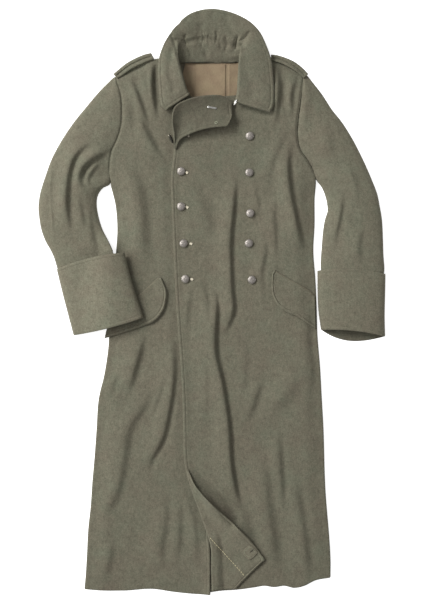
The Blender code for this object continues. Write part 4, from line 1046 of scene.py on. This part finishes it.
def make_collar(front_trees, paint):
    """The collar: sections from the table, joined smoothly, with puckers across the roll behind the neck."""
    table = np.array(COLLAR["rows"], dtype=float)
    near_end, last = np.array(COLLAR_ENDS), len(table) - 1
    middle = np.linspace(0.26, last - 0.26, COLLAR_SECTIONS)
    at = np.concatenate((near_end, middle, last - near_end[::-1]))
    sections = along_rows(table, at)
    low = sections[:, 1] < NECK_ON_FRONTS
    sections[low, 2] = drop_all(front_trees, *sections[low, :2].T, 17.0) + LAY + EASE["collar"]
    kernel = np.ones(5) / 5
    padded = np.pad(sections[:, 2], 2, mode="edge")
    sections[:, 2] = np.maximum(sections[:, 2], np.convolve(padded, kernel, "valid"))
    faces, insides = [], []
    lengths = np.concatenate(([0], np.cumsum(np.hypot(*np.diff(sections[:, 6:8], axis=0).T))))
    for row, from_start, from_end in zip(sections, lengths, lengths[-1] - lengths):
        face, inward, to_edge, belly = collar_section(row[0:3], row[3:6], row[6:9])
        behind = smooth((row[1] - BEHIND_NECK["level"]) / BEHIND_NECK["fade"])
        place = np.linspace(0, 1, len(face))
        run = np.concatenate(([0], np.cumsum(np.linalg.norm(np.diff(face, axis=0), axis=1))))
        from_roll = run - run[13]
        pucker = sum(depth * bell(face[:, 0] - x, half) * bell(from_roll - up, 8 + 2 * half)
                     for x, half, depth, up in PUCKERS["rows"]) * behind
        sway = unevenness(face[:, 0] * 1.5, face[:, 1] * 1.5) * 0.9
        rim = stitched_edge(np.minimum(to_edge, min(from_start, from_end)))
        lift = np.array([0, 0, 1.0]) * (2.2 * belly * bell(place - 0.75, 0.25))[:, None]
        shaped = face + inward * (pucker - sway * 0.6 - rim)[:, None] + lift
        shaped[:, 2] -= BEHIND_NECK["sink"] * behind * smooth(1 - run / BEHIND_NECK["run"])
        faces.append(resampled(shaped, COLLAR_POINTS))
        insides.append(resampled(face + inward * (COLLAR_WOOL + 0.4 * pucker)[:, None] + lift, COLLAR_POINTS))
    face, inside = np.array(faces), np.array(insides)
    for path, half, depth in COLLAR_CREASES["rows"]:
        sunk = depth * ridge_along(path, face[..., 0], face[..., 1], half)
        face[..., 2] -= sunk
        inside[..., 2] -= sunk
    shell("collar_cloth", face, inside, paint, ["collar"],
          bulge=1.7)
    return face_tree(face)


def turned_corner(node, table, paint, crest, edge_rise, power):
    """A corner turned over on to the front: it rolls up from its fold, drops into a bowl, and its free
    edge stands off. Before the fold its face runs round a small arc, so that it comes up out of the front
    below."""
    points, distances, ends, at, t = ruled(*edges(table), FOLDED_EDGE, STITCHED_EDGE, STITCHED_EDGE,
                                           STITCHED_EDGE, CORNER_STEP, CORNER_STEP)
    lifts = [at_rows(table, name, at) for name in ("fold_lift", "dip_lift", "edge_lift")]
    roll = np.clip(1 - t, 0, 1) ** power
    lift = crest * lifts[0] * roll + lifts[1] * (1 - roll - t ** 2) + edge_rise * lifts[2] * t ** 2
    base = left_front_top(points[..., 0], points[..., 1]) + LAY + WOOL
    relief = stitched_edge(distances[1]) + stitched_edge(ends[1]) * smooth(t * 3)
    wave = 0.8 * unevenness(points[..., 0] * 1.6, points[..., 1] * 1.6) * smooth(distances[1] / 12)
    face = lay(points, base + lift + relief + wave)
    inside = lay(points, base + lift - WOOL)
    away = points[:, 0] - points[:, 1]
    away /= np.maximum(np.linalg.norm(away, axis=-1, keepdims=True), 1e-9)
    arcs, inners = [], []
    for angle in (100, 78, 54, 28):
        c, s = math.cos(math.radians(angle)), math.sin(math.radians(angle))
        arc, inner = face[:, 0].copy(), face[:, 0].copy()
        arc[:, :2] += away * CORNER_ROLL * s
        arc[:, 2] -= CORNER_ROLL * (1 - c)
        inner[:, :2] += away * 0.4 * s
        inner[:, 2] -= CORNER_ROLL - 0.4 * c
        arcs.append(arc)
        inners.append(inner)
    face = np.concatenate((np.stack(arcs, axis=1), face), axis=1)
    inside = np.concatenate((np.stack(inners, axis=1), inside), axis=1)
    shell(f"{node}_cloth", face, inside, paint, [node], bulge=0.8)
    return face_tree(face)


def make_flap(side, table, paint):
    """A pocket flap, which stands off along its lower edge, and the row of stitches just inside its top
    seam."""
    points, distances, ends, _, t = ruled(*edges(table), PLAIN_EDGE, STITCHED_EDGE, STITCHED_EDGE,
                                          PLAIN_EDGE, 3, 3)
    base = front_top(points[..., 0], points[..., 1]) + LAY + EASE["flap"] + WOOL + FLAP_LIFT * t ** 2
    relief = stitched_edge(np.minimum(distances[1], ends[0])) * 1.25 - edge_round(distances[0], 4, 1.6)
    face = lay(points, base + relief)
    shell(f"pocket_flap_{side}_cloth", face, lay(points, base - WOOL), paint,
          [f"pocket_flap_{side}"])
    line = along_rows(edges(table)[0], np.linspace(0, len(table["rows"]) - 1, 60))
    line[:, 1] -= 1.4
    stitch_row(f"pocket_flap_{side}_stitches", line, [face_tree(face)], SEAM_THREAD, 5.0, 0.5, 0.7)


def make_strap(side, table, paint):
    """A shoulder strap on its edge: two layers of wool side by side, with the cleft between them."""
    points, distances, ends, at, t = ruled(*edges(table), STRAP_EDGE, STRAP_EDGE,
                                           step_along=3, step_across=0.9)
    arch = np.sin(math.pi * at / at[-1])[:, None]
    seat = front_top(points[..., 0], points[..., 1]) + LAY + EASE["strap"] + WOOL
    cleft = bell(t - 0.52, 0.12) * smooth(ends[0] / 8) * smooth(ends[1] / 8)
    top = seat + STRAP_RISE * arch * t
    relief = -3.0 * cleft - edge_round(np.minimum(*distances), 2.6, 1.2)
    shell(f"shoulder_strap_{side}_cloth", lay(points, top + relief), lay(points, top - WOOL), paint,
          [f"shoulder_strap_{side}"])


def make_lining():
    """The lining behind the neck, with two seams and slack creases at both sides."""
    points, _, _, _, _ = ruled(*edges(LINING_EDGES), step_along=2.5, step_across=2.2)
    x, y = points[..., 0], points[..., 1]
    low = BACK_WOOL + SEAM
    slack = 0.9 * np.sin((x * 0.8 + y) / 7.5) * bell(x + 60, 16)
    slack += 0.6 * np.sin((x - y * 0.4) / 6) * bell(x - 62, 16)
    seams = -0.5 * bell(x - 37, 1.6) + 0.5 * bell(x - 42, 2.4) - 0.4 * bell(x + 46, 1.6)
    top = low + TWILL + slack * bell(y - 525, 38) + seams
    shell("neck_lining_twill", lay(points, np.maximum(top, low + 0.4)), lay(points, low + 0 * x),
          TWILL_LINING, ["neck_lining"], 0.4)


def make_patch():
    """The bare patch on the lining, a little slack, with its stitched edge drawn in."""
    points, distances, ends, _, _ = ruled(*edges(PATCH_EDGES), step_along=2.5, step_across=2.5)
    x, y = points[..., 0], points[..., 1]
    low = BACK_WOOL + SEAM + TWILL + SEAM
    edge = np.minimum(np.minimum(*distances), np.minimum(*ends))
    slack = (0.35 * np.sin((x + y * 0.7) / 8.0) + 0.3 * np.sin((y - x * 0.3) / 5.5 + 1)) * smooth(edge / 10)
    top = low + PATCH + 0.35 + slack - 0.3 * bell(edge - 2.2, 0.8)
    shell("neck_patch_twill", lay(points, top), lay(points, low + 0 * x), TWILL_PATCH,
          ["neck_patch"], 0.3)


def on_tab(u, v):
    """Places on the corner tab, from its middle and along its own two directions."""
    c, s = math.cos(CORNER_TAB["turn"]), math.sin(CORNER_TAB["turn"])
    return CORNER_TAB["x"] + u * c - v * s, CORNER_TAB["y"] + u * s + v * c


def make_tab(corner_tree):
    """The small rounded patch with a buttonhole, sewn inside the hem corner."""
    half = CORNER_TAB["size"] / 2
    places = np.linspace(-1, 1, 31)
    u, v = np.meshgrid(places, places, indexing="ij")
    squash = half * (1 - 0.16 * (u * v) ** 2)
    points = np.stack(on_tab(squash * u, squash * v), axis=-1)
    edge = half * (1 - np.maximum(np.abs(u), np.abs(v)))
    seat = drop_all([corner_tree], points[..., 0], points[..., 1], 20.0) + 0.15
    hole = bell(u, 0.09) * smooth((0.5 - np.abs(v - 0.48)) / 0.2)
    top = seat + CORNER_TAB["thick"] - edge_round(edge, 2.5, 1.1) - 0.7 * bell(edge - 3.2, 0.9) - 1.3 * hole
    face = lay(points, top)
    shell("corner_tab_cloth", face, lay(points, seat), WOOL_CUFF_R,
          ["corner_tab"], bulge=0.6)
    return face_tree(face)


# Buttons, wire and thread

def revolved(profile, steps):
    """A profile of radius and height turned about z: rows of the profile by steps round it."""
    angles = np.linspace(0, 2 * math.pi, steps, endpoint=False)
    radius, height = np.array(profile, dtype=float).T
    return np.stack((radius[:, None] * np.cos(angles), radius[:, None] * np.sin(angles),
                     height[:, None] + 0 * angles), axis=-1)


def closed_round(points, start=0):
    """Faces of a grid whose columns close on themselves."""
    rows, columns, _ = points.shape
    index = np.arange(rows * columns).reshape(rows, columns) + start
    after = np.roll(index, -1, axis=1)
    return np.stack((index[:-1], index[1:], after[1:], after[:-1]), axis=-1).reshape(-1, 4)


def make_button(number, name, x, y, seat, tilt):
    """A cast button: a domed face with a pebbled field inside a plain rolled rim, and a flat back. Its face's
    height is an ellipse of the radius, with a step at the rim and shallow bumps in the field. Each end of its
    profile is closed with a fan of triangles."""
    radius, height = BUTTON_DIAMETER / 2, BUTTON_HEIGHT
    inner = np.linspace(0.02, 0.84, 16) * radius
    dome = [(r, height * (0.62 + 0.38 * math.sqrt(1 - (r / radius) ** 2)) - 0.16 * height * (r / radius) ** 4)
            for r in inner]
    rim = [(0.87 * radius, 0.56 * height), (0.90 * radius, 0.62 * height), (0.94 * radius, 0.63 * height),
           (0.98 * radius, 0.56 * height), (radius, 0.42 * height), (0.985 * radius, 0.26 * height),
           (0.93 * radius, 0.12 * height), (0.8 * radius, 0.02 * height), (0.4 * radius, 0.0),
           (0.02 * radius, 0.0)]
    points = revolved(dome + rim, 48)
    px, py = points[:len(dome) - 1, :, 0], points[:len(dome) - 1, :, 1]
    bumps = np.sin(px * 3.9 + number) * np.sin(py * 4.3 + 2 * number) + 0.6 * np.sin((px + py) * 2.7 + number)
    points[:len(dome) - 1, :, 2] += 0.11 * bumps
    points[..., 2] += tilt[0] * points[..., 0] + tilt[1] * points[..., 1]
    points += np.array([x, y, seat])
    last = points.shape[0] * points.shape[1]
    ring = np.arange(points.shape[1])
    low = ring + last - len(ring)
    caps = np.concatenate((points[:1].mean(axis=1), points[-1:].mean(axis=1)))
    faces = closed_round(points).tolist()
    faces += np.column_stack((np.full_like(ring, last), ring, np.roll(ring, -1))).tolist()
    faces += np.column_stack((np.full_like(ring, last + 1), np.roll(low, -1), low)).tolist()
    thing = make_mesh(f"{name}_dome", np.concatenate((points.reshape(-1, 3), caps)), faces, ZINC)
    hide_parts(name)


def tube_points(path, radius, sides):
    """A tube round a path in space: rings square to its run, drawn in to nothing at both ends."""
    path = np.asarray(path, dtype=float)
    run = np.gradient(path, axis=0)
    run /= np.linalg.norm(run, axis=1, keepdims=True)
    side = np.cross(run, np.array([0.0, 0.0, 1.0]) + 1e-4)
    side /= np.linalg.norm(side, axis=1, keepdims=True)
    up = np.cross(side, run)
    angles = np.linspace(0, 2 * math.pi, sides, endpoint=False)
    ring = side[:, None] * np.cos(angles)[None, :, None] + up[:, None] * np.sin(angles)[None, :, None]
    return path[:, None] + ring * np.asarray(radius, dtype=float)[:, None, None]


def tubes(name, paths, radii, paint, sides=8, replaces=()):
    """Several tubes as one mesh, each closed at its ends by its own narrowing."""
    points, faces, start = [], [], 0
    for path, radius in zip(paths, radii):
        tube = tube_points(path, radius, sides)
        faces.append(closed_round(tube, start)[:, ::-1])
        points.append(tube.reshape(-1, 3))
        start += tube.shape[0] * tube.shape[1]
    thing = make_mesh(name, np.concatenate(points), np.concatenate(faces).tolist(), paint)
    if replaces:
        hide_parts(*replaces)


OFF_THE_CLOTH = -50.0  # height that says that a stitch has nothing below it
STITCH_SINK = 0.1      # how far a stitch beds into the cloth


def stitch_row(name, line, trees, paint, length, gap, thick):
    """A row of stitches along a line in the plane: each is a short tube that dives in at both ends."""
    line = np.asarray(line, dtype=float)
    lengths = np.concatenate(([0], np.cumsum(np.hypot(*np.diff(line, axis=0).T))))
    starts = np.arange(0, lengths[-1] - length, length + gap)
    t = np.linspace(0, 1, 6)
    rise = np.array([-0.7, 0.25, 0.5, 0.5, 0.25, -0.7])
    paths, radii = [], []
    for start in starts:
        at = start + t * length
        x, y = np.interp(at, lengths, line[:, 0]), np.interp(at, lengths, line[:, 1])
        z = drop_all(trees, x, y, OFF_THE_CLOTH)
        if z.min() == OFF_THE_CLOTH:
            continue
        paths.append(np.column_stack((x, y, z + rise * thick - STITCH_SINK)))
        radii.append(np.array([0.05, 0.5, 0.5, 0.5, 0.5, 0.05]) * thick)
    tubes(name, paths, radii, paint, sides=5)


def knot(x, y, z, size, number):
    """A bar tack: a few turns of thread laid side by side and drawn together at their ends."""
    paths, radii = [], []
    t = np.linspace(-1, 1, 9)
    for k in range(4):
        lean = (k - 1.5) * 0.26 * size
        turn = 0.5 + 0.23 * number + 0.08 * k
        c, s = math.cos(turn), math.sin(turn)
        along, across = t * size * 0.5, lean * (1 - 0.5 * t ** 2)
        high = 0.95 * np.sqrt(np.clip(1 - (t * 0.98) ** 2, 0, 1)) * size * 0.22
        paths.append(np.column_stack((x + along * c - across * s, y + along * s + across * c, z + high)))
        radii.append(np.clip(1 - np.abs(t) ** 5, 0.05, 1) * size * 0.15)
    return paths, radii


def make_buttons(trees):
    """The buttons of both columns, each seated on the highest cloth under its rim and leaning a little."""
    count = {"left": 0, "right": 0}
    ring = np.linspace(0, 2 * math.pi, 13)
    reach = 0.8 * BUTTON_DIAMETER / 2
    for number, (side, x, y) in enumerate(BUTTONS["rows"]):
        count[side] += 1
        seat = float(drop_all(trees, x + reach * np.cos(ring), y + reach * np.sin(ring)).max()) + 0.65
        lean = (0.05 * math.sin(2.1 * number + 1), 0.05 * math.cos(1.7 * number))
        make_button(number, f"button_{side}_{count[side]}", x, y, seat, lean)


def make_knots(trees):
    """The small knots of thread on the fronts."""
    paths, radii = [], []
    for number, (x, y, size) in enumerate(KNOTS["rows"]):
        more_paths, more_radii = knot(x, y, drop(trees, x, y), size, number)
        paths += more_paths
        radii += more_radii
    tubes("thread_knots", paths, radii, PALE_THREAD, sides=6)


def make_hole(name, x, y, length, width, turn, trees, lift=-0.15):
    """A worked buttonhole: its slit is a near-black tube of painted shade standing for the shadowed opening,
    and a rim of close stitches round it.
    """
    c, s = math.cos(turn), math.sin(turn)
    t = np.linspace(-1, 1, 15)
    px, py = x + t * length / 2 * c, y + t * length / 2 * s
    path = np.column_stack((px, py, drop_all(trees, px, py) + lift))
    tubes(f"{name}_slit", [path], [np.sqrt(np.clip(1 - t * t, 0.01, 1)) * width * 0.36], SLIT_SHADE)
    ring = np.linspace(0, 2 * math.pi, 61)
    a, b = (length / 2 + width * 0.3) * np.cos(ring), width * 0.62 * np.sin(ring)
    loop = np.column_stack((x + a * c - b * s, y + a * s + b * c))
    stitch_row(f"{name}_rim", loop, trees, GREY_THREAD, 0.9, 0.25, 0.8)


def make_corner_stitches(corner_tree, tab_tree):
    """The row of stitches on the hem corner's facing, those round its tab, and the tab's buttonhole."""
    row = FACING_ROW
    line = np.column_stack((np.linspace(row["x0"], row["x1"], 40), np.linspace(row["y0"], row["y1"], 40)))
    stitch_row("facing_stitches", line, [corner_tree], YELLOW_THREAD, 6.5, 0.8, 1.25)
    outline = along_rows(np.array(TAB_STITCHING), np.linspace(0, len(TAB_STITCHING) - 1, 60))
    outline *= CORNER_TAB["size"] / 2 - 3.2
    stitch_row("tab_stitches", np.column_stack(on_tab(*outline.T)), [tab_tree], TAB_THREAD, 2.6, 0.4, 1.1)
    make_hole("tab_buttonhole", *on_tab(0, 6.5), 13, 3.2, CORNER_TAB["turn"] + math.pi / 2, [tab_tree])


def make_eyelet(lapel_tree):
    """A worked eyelet on the lapel corner: one ring of thread."""
    ring = np.linspace(0, 2 * math.pi, 25)
    middle, half = (EYELET["outer"] + EYELET["inner"]) / 2, (EYELET["outer"] - EYELET["inner"]) / 2
    x, y = EYELET["x"] + middle * np.cos(ring), EYELET["y"] + middle * np.sin(ring)
    z = drop_all([lapel_tree], x, y) + 0.3
    tubes("lapel_eyelet", [np.column_stack((x, y, z))], [np.full(25, half)], TAB_THREAD)


def make_wires(collar_tree, lapel_tree):
    """The collar's hook, bent over at its point, and the bar that it catches on: a pair of wires each."""
    t = np.linspace(0, 1, 15)
    ends = np.clip(1.02 - np.abs(2 * t - 1) ** 8, 0.15, 1)
    bar, hook = EYE_BAR, HOOK
    x, y = bar["x0"] + (bar["x1"] - bar["x0"]) * t, bar["y0"] + (bar["y1"] - bar["y0"]) * t
    z = drop_all([lapel_tree], x, y) + bar["wire"] / 2
    z = np.maximum(z, z.mean()) - 1.6 * np.clip(np.abs(2 * t - 1) * 6 - 5, 0, 1)
    paths = [np.column_stack((x, y + shift, z)) for shift in (-1.1, 1.1)]
    tubes("collar_eye_bar_wire", paths, [ends * bar["wire"] / 2] * 2, WIRE, 10, ["collar_eye_bar"])
    x, y = hook["x0"] + (hook["x1"] - hook["x0"]) * t, hook["y0"] + (hook["y1"] - hook["y0"]) * t
    low = drop_all([collar_tree, lapel_tree], x, y, 30.0).max()
    z = low + hook["wire"] / 2 + 1.5 * np.sin(math.pi * t) * t
    paths = [np.column_stack((x + shift, y + 0.35 * shift, z)) for shift in (-1.3, 1.3)]
    tubes("collar_hook_wire", paths, [ends * hook["wire"] / 2] * 2, WIRE, 10, ["collar_hook"])


def make_coat():
    """Every piece, from the back upwards."""
    make_back(WOOL_BODY)
    trees = [make_front("right", RIGHT_FRONT, RIGHT_HEM, right_front_top, WOOL_BODY),
             make_front("left", LEFT_FRONT, LEFT_HEM, left_front_top, WOOL_LEFT)]
    make_sleeve("right", RIGHT_SLEEVE, RIGHT_SLEEVE_FOLDS, WOOL_SLEEVE_R)
    make_sleeve("left", LEFT_SLEEVE, LEFT_SLEEVE_FOLDS, WOOL_SLEEVE_L)
    make_cuff("right", RIGHT_CUFF, WOOL_CUFF_R)
    make_cuff("left", LEFT_CUFF, WOOL_CUFF_L)
    make_lining()
    make_patch()
    collar_tree = make_collar(trees, WOOL_COLLAR)
    lapel_tree = turned_corner("lapel_corner", LAPEL, WOOL_LAPEL_SHADED, 2.5, 1.5, 2.4)
    corner_tree = turned_corner("hem_corner", HEM_CORNER, WOOL_FACING, 0.8, 1.5, 4)
    tab_tree = make_tab(corner_tree)
    make_flap("right", RIGHT_FLAP, WOOL_BODY)
    make_flap("left", LEFT_FLAP, WOOL_LEFT)
    make_strap("right", RIGHT_STRAP, WOOL_BODY)
    make_strap("left", LEFT_STRAP, WOOL_LEFT)
    make_buttons(trees)
    make_knots(trees)
    make_corner_stitches(corner_tree, tab_tree)
    make_hole("front_buttonhole", **BUTTONHOLE, trees=[*trees, lapel_tree], lift=0.8)
    make_eyelet(lapel_tree)
    make_wires(collar_tree, lapel_tree)


# Floor, light and camera

FLOOR_HALF = 3.0       # in metres
WORLD_STRENGTH = 0.42
CAMERA = dict(lens=87.5, sensor=36, place=(0, 0.0036, 3.5))   # place in metres: straight above the coat
# Soft lights: power, softness, tilt from straight down, and the direction that they come from, in degrees
# counted from the viewer's right towards the top.
LIGHTS = dict(columns=("name", "energy", "angle", "tilt", "azimuth"), rows=[
    ("window", 2.5, 0.38, 50, 143), ("side_window", 1.5, 0.5, 60, 182)])


def make_stage():
    """A pale floor, soft light from the upper left, and a camera straight above."""
    mesh = bpy.data.meshes.new("floor")
    corners = [(x * FLOOR_HALF, y * FLOOR_HALF, 0) for x, y in ((-1, -1), (1, -1), (1, 1), (-1, 1))]
    mesh.from_pydata(corners, [], [(0, 1, 2, 3)])
    mesh.materials.append(pale_floor("pale_floor"))
    add_object("floor", mesh)
    for name, energy, angle, tilt, azimuth in LIGHTS["rows"]:
        sun = bpy.data.lights.new(name, "SUN")
        sun.energy, sun.angle = energy, angle
        add_object(name, sun).rotation_euler = (0, math.radians(tilt), math.radians(azimuth))
    world = bpy.data.worlds.new("studio")
    world.use_nodes = True
    background = world.node_tree.nodes["Background"].inputs
    background["Color"].default_value = (1, 1, 1, 1)
    background["Strength"].default_value = WORLD_STRENGTH
    bpy.context.scene.world = world
    bpy.context.scene.view_settings.view_transform = "Standard"
    lens = bpy.data.cameras.new("camera")
    lens.lens, lens.sensor_fit, lens.sensor_height = CAMERA["lens"], "VERTICAL", CAMERA["sensor"]
    camera = add_object("camera", lens)
    camera.location = CAMERA["place"]
    bpy.context.scene.camera = camera


make_coat()
make_stage()
